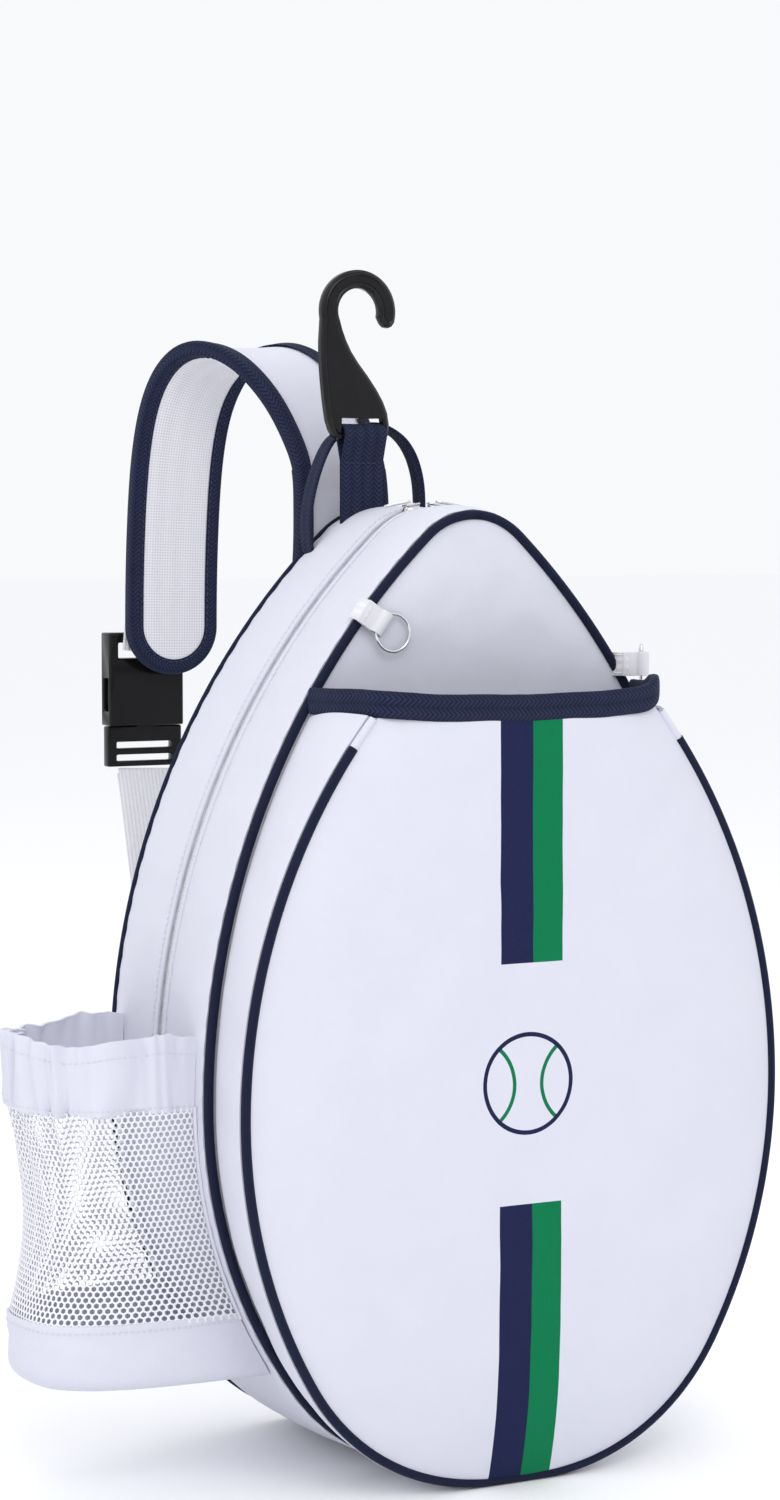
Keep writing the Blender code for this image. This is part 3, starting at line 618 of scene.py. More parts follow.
def high_side(stop_z=None):
    """Right-hand outline of the body from the widest place up, over to the middle of the top."""
    reach = HEIGHT - TOP_R - WIDE_Z
    radius = (BODY_HALF ** 2 + reach ** 2 - TOP_R ** 2) / (2 * (BODY_HALF - TOP_R))
    if stop_z is not None:
        return arc(BODY_HALF - radius, WIDE_Z, radius, 0, math.asin((stop_z - WIDE_Z) / radius), 48)
    turn = math.atan2(reach, radius - BODY_HALF)
    points = arc(BODY_HALF - radius, WIDE_Z, radius, 0, turn, 48)
    return points + arc(0, HEIGHT - TOP_R, TOP_R, turn, math.pi / 2, 24)[1:]


def pocket_high(stop_z):
    stop = math.asin((stop_z - WIDE_Z) / POCKET_SIDE_R)
    return arc(POCKET_HALF - POCKET_SIDE_R, WIDE_Z, POCKET_SIDE_R, 0, stop, 48)


def both_sides(right):
    """A right-hand line that starts on the middle, led round from the left end to the right end."""
    left = [Vector((-p.x, p.y, p.z)) for p in reversed(right)]
    return left + right[1:]


def offset(points, inset, closed=False):
    """A flat outline moved towards its inside."""
    made = []
    count = len(points)
    for i, p in enumerate(points):
        a = points[i - 1] if closed or i else p
        b = points[(i + 1) % count] if closed or i < count - 1 else p
        along = (b - a).normalized()
        made.append(p - Vector((along.z, 0, -along.x)) * inset)
    return made


def at_y(points, y):
    return [Vector((p.x, y, p.z)) for p in points]


BODY_RIGHT = low_side(BODY_HALF, BODY_LOW_R) + high_side()[1:]
BODY_LOOP = resample(both_sides(BODY_RIGHT), 320)[:-1]
LOW_LINE = resample(both_sides(low_side(BODY_HALF, BODY_LOW_R)), 150)
HIGH_RIGHT = high_side()
HIGH_LINE = resample(HIGH_RIGHT + [Vector((-p.x, 0, p.z)) for p in reversed(HIGH_RIGHT)][1:], 200)
POCKET_LINE = resample(both_sides(low_side(POCKET_HALF, POCKET_LOW_R)
                                  + pocket_high(POCKET_TOP)[1:]), 220)
BODY_BESIDE = resample(both_sides(low_side(BODY_HALF, BODY_LOW_R) + high_side(POCKET_TOP)[1:]), 220)


def out_of(middle):
    """Outward direction from an axis along Y through a middle."""
    return lambda p: Vector((p.x - middle[0], 0, p.z - middle[1]))


def gusset(name, line, y0, y1, fullness, node, cols=22):
    """The cloth wall between two seams: full in the middle, drawn in and puckered at the seams."""
    outward_line = offset(line, -1.0)
    marks = lengths_of(line)
    grid, lays = [], []
    for i, p in enumerate(line):
        n = outward_line[i] - p
        row, lay_row = [], []
        for j in range(cols + 1):
            v = j / cols
            y = y0 + (y1 - y0) * v
            full = math.sin(math.pi * v) ** 0.7
            pucker = 0.00022 * math.sin(marks[i] * TAU / 0.013) * (1 - full) ** 2
            crease = 0.0018 * ruffle((p.x, y * 0.35, p.z), 17.0) * full
            lift = fullness * full + crease + pucker
            point = Vector((p.x, y, p.z)) + n * lift
            point.z = max(point.z, 0.0004)
            row.append(point)
            lay_row.append((marks[i], y))
        grid.append(row)
        lays.append(lay_row)
    return shell(name, grid, lays, CLOTH, "canvas", "bag", (node,), out_of((0, 0.24)))


def make_body():
    y_front, y_back = Y_FRONT + PIPE_R * 0.7, Y_BACK - PIPE_R_REAR * 0.7
    gusset("gusset_lower_cloth", LOW_LINE, y_front, y_back, 0.0022, "gusset_lower", 36)
    gusset("gusset_front_cloth", HIGH_LINE, y_front, -0.0048, 0.0020, "gusset_front")
    gusset("gusset_rear_cloth", HIGH_LINE, 0.0048, y_back, 0.0020, "gusset_rear")
    body_in = offset(BODY_LOOP, PIPE_R + SEAM, True)
    tube("piping_front_cord", at_y(body_in, Y_FRONT), PIPE_R, 12, "cord", "bag", ("piping_front",),
         True)
    proud = 0.0018
    body_out = at_y(offset(BODY_LOOP, PIPE_R_REAR + SEAM - proud, True), Y_BACK)
    body_out = [Vector((p.x, p.y, max(p.z, PIPE_R_REAR))) for p in body_out]
    tube("piping_rear_cord", body_out, PIPE_R_REAR, 12, "cord", "bag", ("piping_rear",), True)
    pocket_in = at_y(offset(POCKET_LINE, PIPE_R + SEAM), Y_POCKET)
    bare = 4
    tube("piping_pocket_cord", pocket_in[bare:-bare], PIPE_R, 12, "cord", "bag", ("piping_pocket",))
    tube("pocket_seam_left", pocket_in[:bare + 1], PIPE_R * 0.85, 12, "canvas", "bag")
    tube("pocket_seam_right", pocket_in[-bare - 1:], PIPE_R * 0.85, 12, "canvas", "bag")


def disc_panel(name, right, inset, place, thick, look, node, face, rows=70, cols=64):
    """A flat-sewn panel inside an outline, row by row up the object; place gives its depth."""
    side = resample(offset(right, inset), rows)
    side[0].x = max(side[0].x, 0.004)
    side[-1].x = max(side[-1].x, 0.004)
    grid, lays = [], []
    for p in side:
        row = []
        for j in range(cols + 1):
            u = math.sin((j / cols - 0.5) * math.pi)
            row.append(Vector((p.x * u, place(u, p.x * u, p.z), p.z)))
        grid.append(row)
        lays.append([(q.x, q.z) for q in row])
    return shell(name, grid, lays, thick, look, "bag", (node,), lambda p: face)


def make_panels():
    def pocket_front(u, x, z):
        rise = 1.0 - (1.0 - min(z / 0.10, 1.0)) ** 2.5
        full = (1.0 - abs(u) ** 4) * rise
        soft = 0.0018 * ruffle((x, 0.3, z), 9.0) + 0.0006 * ruffle((x, 0.9, z), 38.0)
        soft = soft * min(max((POCKET_TOP - z) / 0.03, 0.0), 1.0)
        return Y_POCKET - 0.0008 - POCKET_DOME * full - soft * full

    right = low_side(POCKET_HALF, POCKET_LOW_R) + pocket_high(POCKET_TOP + 0.004)[1:]
    disc_panel("racket_pocket_front", right[4:], 2 * PIPE_R - 0.0008, pocket_front, 0.0022,
               "printed",
               "racket_pocket_panel", -Y_AXIS, 90, 80)

    def body_front(u, x, z):
        above = min(max((z - 0.385) / 0.04, 0.0), 1.0)
        full = (1.0 - abs(u) ** 3) * above * min(max((HEIGHT - z) / 0.03, 0.0), 1.0)
        crease = (0.0014 * ruffle((x, 0.5, z), 22.0)) * (1 - abs(u) ** 6) * above
        return Y_FRONT + 0.0006 - 0.0040 * full - crease

    disc_panel("front_panel_cloth", BODY_RIGHT[4:], 2 * PIPE_R - 0.0008, body_front, CLOTH,
               "canvas",
               "front_panel", -Y_AXIS, 110, 60)

    def body_back(u, x, z):
        crease = 0.0005 * ruffle((x, 0.1, z), 14.0) * (1 - abs(u) ** 6)
        return Y_BACK + 0.0008 + 0.0006 * (1 - abs(u) ** 3) + crease

    disc_panel("back_panel_cloth", BODY_RIGHT[4:], 2 * PIPE_R_REAR - 0.0006, body_back, CLOTH,
               "canvas",
               "back_panel", Y_AXIS, 90, 50)


def make_pocket_gusset():
    """The wall from the body's front seam out to the racket pocket's seam."""
    y_rear, y_fore = Y_FRONT - PIPE_R * 0.8, Y_POCKET + PIPE_R * 0.7
    rear = offset(BODY_BESIDE, 0.0055)
    normals = [b - a for a, b in zip(POCKET_LINE, offset(POCKET_LINE, -1.0))]
    marks = lengths_of(POCKET_LINE)
    cols = 20
    grid, lays = [], []
    for i, (a, b) in enumerate(zip(rear, POCKET_LINE)):
        row, lay_row = [], []
        for j in range(cols + 1):
            v = j / cols
            p = a.lerp(b, v)
            y = y_rear + (y_fore - y_rear) * v
            full = math.sin(math.pi * v) ** 0.8
            crease = 0.0022 * ruffle((p.x, y * 0.4, p.z), 20.0, 3.0)
            p = p + normals[i] * (0.0022 * full + crease * full)
            row.append(Vector((p.x, y, max(p.z, 0.0008))))
            lay_row.append((marks[i], y))
        grid.append(row)
        lays.append(lay_row)
    shell("racket_pocket_wall", grid, lays, CLOTH, "canvas", "bag", ("racket_pocket_gusset",),
          out_of((0, 0.22)))


def make_binding():
    """Herringbone tape folded over the racket pocket's mouth, with its stitch line."""
    rear = offset(BODY_BESIDE, 0.0055)[-1].x - 0.0010
    fore = POCKET_LINE[-1].x - 0.0015
    y_rear, y_fore = Y_FRONT - PIPE_R - 0.0010, Y_POCKET - 0.0005
    half_path = [(rear, y_rear), (rear * 0.6 + fore * 0.4, -0.075), (fore + 0.001, y_fore + 0.012),
                 (fore - 0.003, y_fore + 0.002), (fore - 0.012, Y_POCKET - 0.0065),
                 (fore * 0.55, Y_POCKET - 0.0105), (fore * 0.25, Y_POCKET - 0.0110)]
    route = [(x, y, 0) for x, y in half_path] + [(0, Y_POCKET - 0.0112, 0)]
    route += [(-x, y, 0) for x, y in reversed(half_path)]
    path = resample(smooth_path(route, 8), 150)
    marks = lengths_of(path)
    middle = (POCKET_TOP + BINDING_TOP) / 2 - 0.0005
    tall, thick = 0.0066, 0.0026
    section = [(squarish(math.cos(a), 0.5) * thick,
                squarish(math.sin(a), 0.6) * tall)
               for a in round_angles(20)]
    rings, lays, line, normals = [], [], [], []
    for i, p in enumerate(path):
        a, b = path[max(i - 1, 0)], path[min(i + 1, len(path) - 1)]
        along = (b - a).normalized()
        out = Vector((along.y, -along.x, 0))
        if out.y > 0 and abs(out.y) > 0.5:
            out = -out
        if i and out.dot(normals[-1]) < 0:
            out = -out
        flat = max(1 - abs(p.x / fore) ** 2, 0.0)
        corner = math.exp(-((p.x - fore) / 0.010) ** 2) * math.exp(-((p.y - y_fore) / 0.020) ** 2)
        centre = p + Z_AXIS * (middle - 0.0030 * flat + 0.0050 * corner + 0.0006 * ruffle(p, 30.0))
        rings.append([centre + out * h + Z_AXIS * v for h, v in section])
        lays.append([(marks[i], v) for h, v in section])
        line.append(centre + out * (thick + 0.0001) - Z_AXIS * tall * 0.55)
        normals.append(out)
    sweep("racket_pocket_tape", rings, lays, "tape", "bag", ("racket_pocket_binding",))
    stitches("racket_pocket_stitches", line[3:-3], normals[3:-3], "navy_thread", "bag")


TOOTH_PITCH = 0.0020      # along the zip, between teeth of one row
TOOTH_HALF = 0.00055      # half of a tooth's width along the zip


def make_zip():
    """Zip: sunk tape, coil teeth in two rows, folded cloth edges with stitching."""
    line = offset(HIGH_LINE, 0.0016)
    marks = lengths_of(line)
    across = [-0.0070 + 0.0140 * j / 6 for j in range(7)]
    grid = [[Vector((p.x, y, p.z)) for y in across] for p in line]
    lays = [[(m, y) for y in across] for m in marks]
    shell("zip_tape", grid, lays, 0.0008, "webbing", "bag", ("zip_chain",), out_of((0, 0.24)))
    teeth = int(marks[-1] / TOOTH_PITCH)
    centres = resample(line, teeth)
    lifted = resample(offset(HIGH_LINE, 0.0004), teeth)
    bm = bmesh.new()
    bm.verts.layers.float_vector.new("lay")
    for i in range(teeth):
        along = (centres[i + 1] - centres[i]).normalized()
        up = Vector((-along.z, 0, along.x))
        if up.dot(lifted[i] - centres[i]) < 0:
            up = -up
        for sign in (-1, 1):
            base = centres[i] + along * (TOOTH_PITCH / 2 if sign > 0 else 0.0)
            ends = []
            for y, rise in ((-0.0003 * sign, 0.0008), (0.0022 * sign, 0.0006)):
                section = ((-1, 0), (-0.7, rise), (0.7, rise), (1, 0))
                ends.append([bm.verts.new(base + Y_AXIS * y + along * s * TOOTH_HALF + up * h)
                             for s, h in section])
            a, b = ends
            for j in range(4):
                k = (j + 1) % 4
                bm.faces.new((a[j], a[k], b[k], b[j]))
            bm.faces.new(a)
            bm.faces.new(b)
    settle("zip_teeth", bm, "webbing", "bag")
    outward = [(b - a).normalized() for a, b in zip(HIGH_LINE, offset(HIGH_LINE, -1.0))]
    for side, y in (("front", -0.0078), ("rear", 0.0078)):
        row = [Vector((p.x, y, p.z)) + n * 0.0014 for p, n in zip(HIGH_LINE, outward)]
        stitches("zip_stitches_" + side, row[2:-2], outward[2:-2], "white_thread", "bag", 0.0034)
    for side, y in (("front", -0.0052), ("rear", 0.0052)):
        row = [Vector((p.x, y, p.z)) + n * 0.0003 for p, n in zip(HIGH_LINE, outward)]
        tube("zip_fold_" + side, row, 0.0012, 10, "canvas", "bag")


# ---- hard fittings copied from the frame and rounded -------------------------------------------
def rounded(name, node, look, body, width, segments=3):
    """The CAD solid with its edges rounded as a moulding's or casting's are."""
    mesh = frame["nodes"][node].data.copy()
    bm = bmesh.new()
    bm.from_mesh(mesh)
    bmesh.ops.remove_doubles(bm, verts=bm.verts, dist=1e-6)
    bmesh.ops.dissolve_limit(bm, angle_limit=math.radians(1.0), verts=bm.verts, edges=bm.edges)
    edges = [e for e in bm.edges
             if len(e.link_faces) == 2 and e.calc_face_angle(0) > math.radians(28)]
    bmesh.ops.bevel(bm, geom=edges, offset=width, segments=segments, profile=0.5, affect="EDGES",
                    clamp_overlap=True)
    bm.verts.layers.float_vector.new("lay")
    return settle(name, bm, look, body, (node,))


def make_hard_parts():
    for name, body, width in (("buckle_socket", "shoulder_strap", 0.0011),
                              ("buckle_plug", "shoulder_strap", 0.0009),
                              ("buckle_prong_left", "buckle_prong_left", 0.0007),
                              ("buckle_prong_right", "buckle_prong_right", 0.0007)):
        rounded(name + "_moulded", name, "plastic", body, width)
    for side in ("left", "right"):
        rounded("ring_tab_%s_loop" % side, "ring_tab_" + side, "webbing", "bag", 0.0003)


# ---- bottle pocket -----------------------------------------------------------------------------
BOTTLE_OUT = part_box("bottle_pocket_hem")[0].x
BOTTLE_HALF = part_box("bottle_pocket_hem")[1].y
HEM_LOW, HEM_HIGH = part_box("bottle_pocket_hem")[0].z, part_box("bottle_pocket_hem")[1].z
BASE_LOW, BASE_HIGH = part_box("bottle_pocket_base")[0].z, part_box("bottle_pocket_base")[1].z


def body_half_at(z):
    """Half-width of the body at a height below its top arc."""
    for a, b in zip(BODY_RIGHT, BODY_RIGHT[1:]):
        if a.z <= z < b.z:
            return a.x + (b.x - a.x) * (z - a.z) / (b.z - a.z)
    return 0.0


def bottle_point(z, a, scale=1.0, lift=0.0):
    """A point on the pocket, at a height and an angle from its rear edge to its front edge."""
    root = -(body_half_at(z) + 0.0012)
    waist = 1.0 - 0.10 * math.sin(math.pi * min(max((z - 0.085) / 0.105, 0.0), 1.0))
    reach = (BOTTLE_OUT + 0.0015 - root) * waist * scale
    c, s = math.cos(a), math.sin(a)
    half = (BOTTLE_HALF - 0.0008) * scale
    y = half * squarish(c, 0.72)
    x = root + reach * max(s, 0.0) ** 0.62
    point = Vector((x, y, z))
    if lift:
        point += Vector((-s, c, 0)).normalized() * lift * math.sin(a) ** 0.5
    return point


def bottle_angles(count):
    """Angles that step evenly round the pocket, and the length of the round."""
    fine = [math.pi * i / 600 for i in range(601)]
    points = [bottle_point(0.15, a) for a in fine]
    marks = lengths_of(points)
    made, k = [], 0
    for i in range(count + 1):
        want = marks[-1] * i / count
        while k < 599 and marks[k + 1] < want:
            k += 1
        t = (want - marks[k]) / max(marks[k + 1] - marks[k], 1e-9)
        made.append(min(fine[k] + (fine[k + 1] - fine[k]) * t, math.pi))
    return made, marks[-1]


def gathers(distance, z, depth):
    """Small upright folds of an elasticated edge."""
    q = distance / 0.0072 + 2.0 * noise.noise(Vector((distance * 32, z * 14, 0)))
    return depth * (math.sin(q * 2.1) + 0.6 * math.sin(q * 3.7 + 1.7)
                    + 0.4 * math.sin(q * 6.1 + z * 60))


def make_bottle_pocket():
    count = 260
    angles, round_length = bottle_angles(count)
    rows = 26
    grid, lays = [], []
    for i in range(rows + 1):
        v = i / rows
        z = HEM_LOW + (HEM_HIGH - HEM_LOW) * v
        tight = 0.55 + 0.45 * abs(2 * v - 1) ** 2
        roll = 0.0016 * math.sin(math.pi * v) ** 0.5
        row = []
        for k, a in enumerate(angles):
            s = round_length * k / count
            ease = min(s, round_length - s, 0.012) / 0.012
            wave = (0.0020 * math.sin(s * 75 + 0.6) + gathers(s, 0.2, 0.0005)) * v * ease
            row.append(bottle_point(z, a, 1.0,
                                    (gathers(s, z, 0.0024) * tight + roll - 0.0008) * ease)
                       + Z_AXIS * wave)
        grid.append(row)
        lays.append([(round_length * k / count, z) for k in range(count + 1)])
    hem = shell("bottle_pocket_gathered_hem", grid, lays, 0.0014, "canvas", "bag",
                ("bottle_pocket_hem",), out_of_pocket)
    lengths_of(grid[rows // 2])[-1]
    for name, v in (("low", 0.08), ("high", 0.80)):
        row = grid[int(rows * v)]
        normals = [out_of_pocket(p).normalized() for p in row]
        stitches("bottle_hem_stitches_" + name, [p + n * 0.0001 for p, n in zip(row, normals)],
                 normals,
                 "white_thread", "bag", 0.0030)

    rows = 34
    grid, lays = [], []
    low, high = BASE_LOW, BASE_HIGH + 0.0015
    for i in range(rows + 1):
        v = i / rows
        if v < 0.4:
            scale, z = 0.05 + 0.87 * v / 0.4, low + 0.0015 * (v / 0.4) ** 4
        elif v < 0.65:
            turn = (v - 0.4) / 0.25 * math.pi / 2
            scale, z = 0.92 + 0.08 * math.sin(turn), low + 0.0015 + 0.0105 * (1 - math.cos(turn))
        else:
            scale, z = 1.0, low + 0.0120 + (high - low - 0.0120) * (v - 0.65) / 0.35
        row = []
        for k in range(0, count + 1, 2):
            s = round_length * k / count
            ease = min(s, round_length - s, 0.015) / 0.015
            fold = 0.0030 * ruffle((s * 0.8, z * 1.6, 0), 30.0) * ease * max(v - 0.3, 0) * 1.4
            row.append(bottle_point(z, angles[k], scale, fold + 0.0001))
        grid.append(row)
        lays.append([(round_length * k / count, v * 0.07) for k in range(0, count + 1, 2)])
    shell("bottle_pocket_band", grid, lays, 0.0014, "canvas", "bag", ("bottle_pocket_base",),
          out_of_pocket)
    row = grid[-3]
    normals = [out_of_pocket(p).normalized() for p in row]
    stitches("bottle_band_stitches", [p + n * 0.0002 for p, n in zip(row, normals)], normals,
             "white_thread", "bag", 0.0030)
    make_net_wall(round_length)


def out_of_pocket(p):
    """Outward direction of the pocket at a point, which is down as well under its base."""
    return (Vector((p.x + 0.165, p.y, 0)) if p.z > BASE_LOW + 0.006
            else Vector((p.x + 0.165, p.y, -0.03)))


def make_net_wall(round_length):
    """The pocket's open net: staggered six-sided holes between fine strands."""
    low, high = BASE_HIGH - 0.0010, HEM_LOW + 0.0020
    pitch = 0.0030
    columns = int(round_length / pitch)
    pitch_s = round_length / columns
    pitch_z = pitch * 0.90
    levels = int((high - low) / pitch_z)
    pitch_z = (high - low) / levels
    fine, _ = bottle_angles(columns * 12)

    def place(s, z):
        s = min(max(s, 0.0), round_length)
        t = s / round_length * columns * 12
        k = min(int(t), columns * 12 - 1)
        a = fine[k] + (fine[k + 1] - fine[k]) * (t - k)
        z = min(max(z, low), high)
        ease = min(s, round_length - s, 0.02) / 0.02
        slack = (0.0026 * ruffle((s * 0.7, z * 0.3, 2.0), 11.0)
                 + gathers(s, z, 0.0009) * ((z - low) / (high - low)) ** 3) * ease
        return bottle_point(z, a, 1.0, slack - 0.0006 * ease)

    bm = bmesh.new()
    bm.verts.layers.float_vector.new("lay")
    shared = {}

    def corner(s, z):
        key = (round(s, 6), round(z, 6))
        if key not in shared:
            shared[key] = bm.verts.new(place(s, z))
        return shared[key]

    for level in range(levels):
        for column in range(columns):
            cs = (column + 0.25 + 0.5 * (level % 2)) * pitch_s
            cz = low + (level + 0.5) * pitch_z
            ring = [(0.0, 2 / 3), (0.5, 1 / 3), (0.5, -1 / 3), (0.0, -2 / 3), (-0.5, -1 / 3),
                    (-0.5, 1 / 3)]
            outer = [corner(cs + u * pitch_s, cz + w * pitch_z) for u, w in ring]
            hole = [bm.verts.new(place(cs + u * pitch_s * 0.66, cz + w * pitch_z * 0.74)) for u,
                    w in ring]
            for j in range(6):
                k = (j + 1) % 6
                if len({outer[j], outer[k], hole[k], hole[j]}) == 4:
                    bm.faces.new((outer[j], outer[k], hole[k], hole[j]))
    net = settle("bottle_pocket_net", bm, "net", "bag", ("bottle_pocket_mesh",))
    thickness = net.modifiers.new("strand_thickness", "SOLIDIFY")
    thickness.thickness = 0.0006
    thickness.offset = 0.0
    for side, s in (("rear", 0.0), ("front", round_length)):
        edge = [place(s, low + (high - low) * i / 40) for i in range(41)]
        tube("bottle_pocket_seam_" + side, edge, 0.0018, 10, "canvas", "bag", flat=0.55)


# ---- shoulder strap ----------------------------------------------------------------------------
class Ribbon:
    """A flat strap along a path: a point on it has a distance along, across and above."""

    def __init__(self, points, steps, rounds=10):
        self.path = self.eased(smooth_path(points, steps), rounds)
        self.lengths = lengths_of(self.path)
        self.length = self.lengths[-1]

    @staticmethod
    def eased(path, rounds):
        """The path in even steps, with its kinks smoothed out and its ends kept."""
        path = resample(path, len(path))
        for _ in range(rounds):
            path = [path[0]] + [(a + 2 * b + c) / 4
                                for a, b, c in zip(path, path[1:], path[2:])] + [path[-1]]
        return path

    def frame(self, s):
        s = min(max(s, 0.0), self.length)
        i = 0
        while i < len(self.lengths) - 2 and self.lengths[i + 1] < s:
            i += 1
        t = (s - self.lengths[i]) / (self.lengths[i + 1] - self.lengths[i])
        place = self.path[i].lerp(self.path[i + 1], t)
        here = (self.path[i + 1] - self.path[i]).normalized()
        before = (self.path[i] - self.path[i - 1]).normalized() if i else here
        j = min(i + 2, len(self.path) - 1)
        after = (self.path[j] - self.path[i + 1]).normalized() if j > i + 1 else here
        along = ((before + here) * (1 - t) + (here + after) * t).normalized()
        across = (X_AXIS - along * X_AXIS.dot(along)).normalized()
        return place, along, across, along.cross(across)

    def band(self, name, start, stop, count, half, middle, thick, look, body, stands_for=(),
             crown=0.0):
        """A strip of the ribbon with rounded edges; half is a number or a function of distance."""
        width = half if callable(half) else (lambda s: half)
        rings, lays = [], []
        for i in range(count + 1):
            s = start + (stop - start) * i / count
            place, _, across, up = self.frame(s)
            w = width(s)
            ring, marks = [], []
            for j in range(32):
                a = TAU * j / 32
                t = w * squarish(math.cos(a), 0.45)
                h = thick / 2 * squarish(math.sin(a), 0.5) * (1 + crown * (1 - (t / w) ** 2))
                ring.append(place + across * t + up * (middle + h))
                marks.append((s, t))
            rings.append(ring)
            lays.append(marks)
        return sweep(name, rings, lays, look, body, stands_for)


PAD_ROUTE = [STRAP_TOP + SWING * 0.0006, STRAP_TOP + SWING * 0.0050, STRAP_TOP + SWING * 0.0094,
             (-0.0080, 0.0890, 0.5150), (-0.0150, 0.1010, 0.5400), (-0.0270, 0.1160, 0.5580),
             (-0.0400, 0.1330, 0.5640), (-0.0500, 0.1500, 0.5600), (-0.0570, 0.1630, 0.5420),
             (-0.0610, 0.1700, 0.5100), (-0.0625, 0.1735, 0.4700), (-0.0635, 0.1740, 0.4300),
             (-0.0640, 0.1730, 0.3920)]


PAD_RIBBON = Ribbon(PAD_ROUTE, 10, 50)


def make_pad():
    ribbon = PAD_RIBBON
    full = STRAP_HALF
    end = ribbon.length - full

    def half(s):
        if s <= end:
            return full
        return max(math.sqrt(max(full ** 2 - (s - end) ** 2, 0.0)), 0.004)

    pad = ribbon.band("strap_pad_cloth", 0.0, ribbon.length - 0.0003, 150, half, 0.0, PAD_THICK,
                      "canvas", "shoulder_strap",
                      ("strap_pad",), 0.12)

    # the lining: spacer mesh with its dimples pressed in
    step, inset, pitch = 0.00085, 0.0030, 0.0034
    rows = int((ribbon.length - inset * 1.15) / step)
    cols = 52
    grid, lays = [], []
    for i in range(rows + 1):
        s = 0.0008 + (ribbon.length - inset * 1.15 - 0.0008) * i / rows
        place, _, across, up = ribbon.frame(s)
        w = full - inset
        settled = min((rows - i) / 14, 1.0) ** 0.5
        if s > end:
            w = max(math.sqrt(max(w ** 2 - (s - end) ** 2, 0.0)), 0.0045)
        row, marks = [], []
        for j in range(cols + 1):
            u = 2 * j / cols - 1
            t = w * u
            wave = math.sin(TAU * (s + t) / pitch) * math.sin(TAU * (s - t) / pitch)
            dimple = 0.00030 * wave * (1 - abs(u) ** 6) * settled
            puff = 0.0011 * (1 - u ** 4) * settled
            row.append(place + across * t + up * (PAD_THICK / 2 + 0.0004 + puff + dimple))
            marks.append((s, t))
        grid.append(row)
        lays.append(marks)
    shell("strap_air_mesh", grid, lays, 0.0006, "lining", "shoulder_strap", ("strap_lining",),
          lambda p: ribbon_up(ribbon, p))

    # the binding: down one edge, round the end, up the other edge
    edge = [(end * i / 110, -full, (0.0, -1.0)) for i in range(111)]
    edge += [(end + full * math.sin(a), -full * math.cos(a), (math.sin(a), -math.cos(a)))
             for a in [math.pi * i / 40 for i in range(1, 40)]]
    edge += [(end * i / 110, full, (0.0, 1.0)) for i in range(110, -1, -1)]
    tall, reach, fold = PAD_THICK / 2 + 0.0013, 0.0052, 0.0030
    section = binding_section(tall, reach, fold, 0.0007)
    spread = lengths_of([Vector((o, h, 0)) for o, h in section])
    rings, lays, seam, normals = [], [], [], []
    run, last = 0.0, None
    for s, t, (ds, dt) in edge:
        place, along, across, up = ribbon.frame(s)
        ring = [place + along * (ds * o) + across * (t + dt * o) + up * h for o, h in section]
        run += (ring[5] - last).length if last is not None else 0.0
        last = ring[5].copy()
        rings.append(ring)
        lays.append([(run, q) for q in spread])
        seam.append(place + along * (ds * -0.0040) + across * (t - dt * 0.0040)
                    + up * (tall + 0.0001))
        normals.append(up)
    sweep("strap_herringbone_binding", rings, lays, "tape", "shoulder_strap", ("strap_binding",))
    stitches("strap_binding_stitches", seam, normals, "navy_thread", "shoulder_strap", 0.0034)


def ribbon_up(ribbon, point):
    """The lining side of the ribbon near a point."""
    best = min(range(0, len(ribbon.path), 4), key=lambda i: (ribbon.path[i] - point).length_squared)
    return ribbon.frame(ribbon.lengths[best])[3]


def binding_section(tall, reach, fold, cloth):
    """Section of tape folded over an edge: outwards and upwards, as a closed ring."""
    outer = [(-reach, tall)] + [(fold * math.sin(a) ** 0.8, tall * math.cos(a) ** 0.6
                                 if a < math.pi / 2 else 0.0)
                                for a in [math.pi / 2 * i / 5 for i in range(6)]]
    outer = outer + [(o, -h) for o, h in reversed(outer[:-1])]
    inner = [(o - (cloth if o > -reach + 0.001 else 0.0), h - math.copysign(cloth, h)
              if abs(h) > cloth else h)
             for o, h in reversed(outer)]
    return outer + inner


def make_strap_root():
    """The strap's sewn end: cloth and binding that bend from the back into the swinging strap."""
    overlap = [p for p, run in zip(PAD_RIBBON.path, PAD_RIBBON.lengths) if run < 0.018]
    route = [(-0.0190, 0.0640, 0.4230), (-0.0155, 0.0645, 0.4420),
             (-0.0120, 0.0690, 0.4640)] + overlap[::2]
    ribbon = Ribbon(route, 8, 30)
    stop = ribbon.length - 0.003
    cloth = ribbon.band("strap_root_cloth", 0, stop, 60, STRAP_HALF + 0.0002, 0.0,
                        PAD_THICK + 0.0004, "canvas", None,
                        ("strap_base",), 0.12)
    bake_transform(cloth)
    section = binding_section(PAD_THICK / 2 + 0.0016, 0.0054, 0.0033, 0.0007)
    spread = lengths_of([Vector((o, h, 0)) for o, h in section])
    for side, sign in (("left", -1), ("right", 1)):
        rings, lays = [], []
        for i in range(61):
            s = stop * i / 60
            place, _, across, up = ribbon.frame(s)
            rings.append([place + across * sign * (STRAP_HALF + o) + up * h for o, h in section])
            lays.append([(s, q) for q in spread])
        tape = sweep("strap_root_binding_" + side, rings, lays, "tape", None)
        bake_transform(tape)
    box_stitch("base_box_stitch", ribbon, 0.006, 0.030, STRAP_HALF - 0.006, -PAD_THICK / 2 - 0.0006,
               -1,
               "white_thread", "bag")


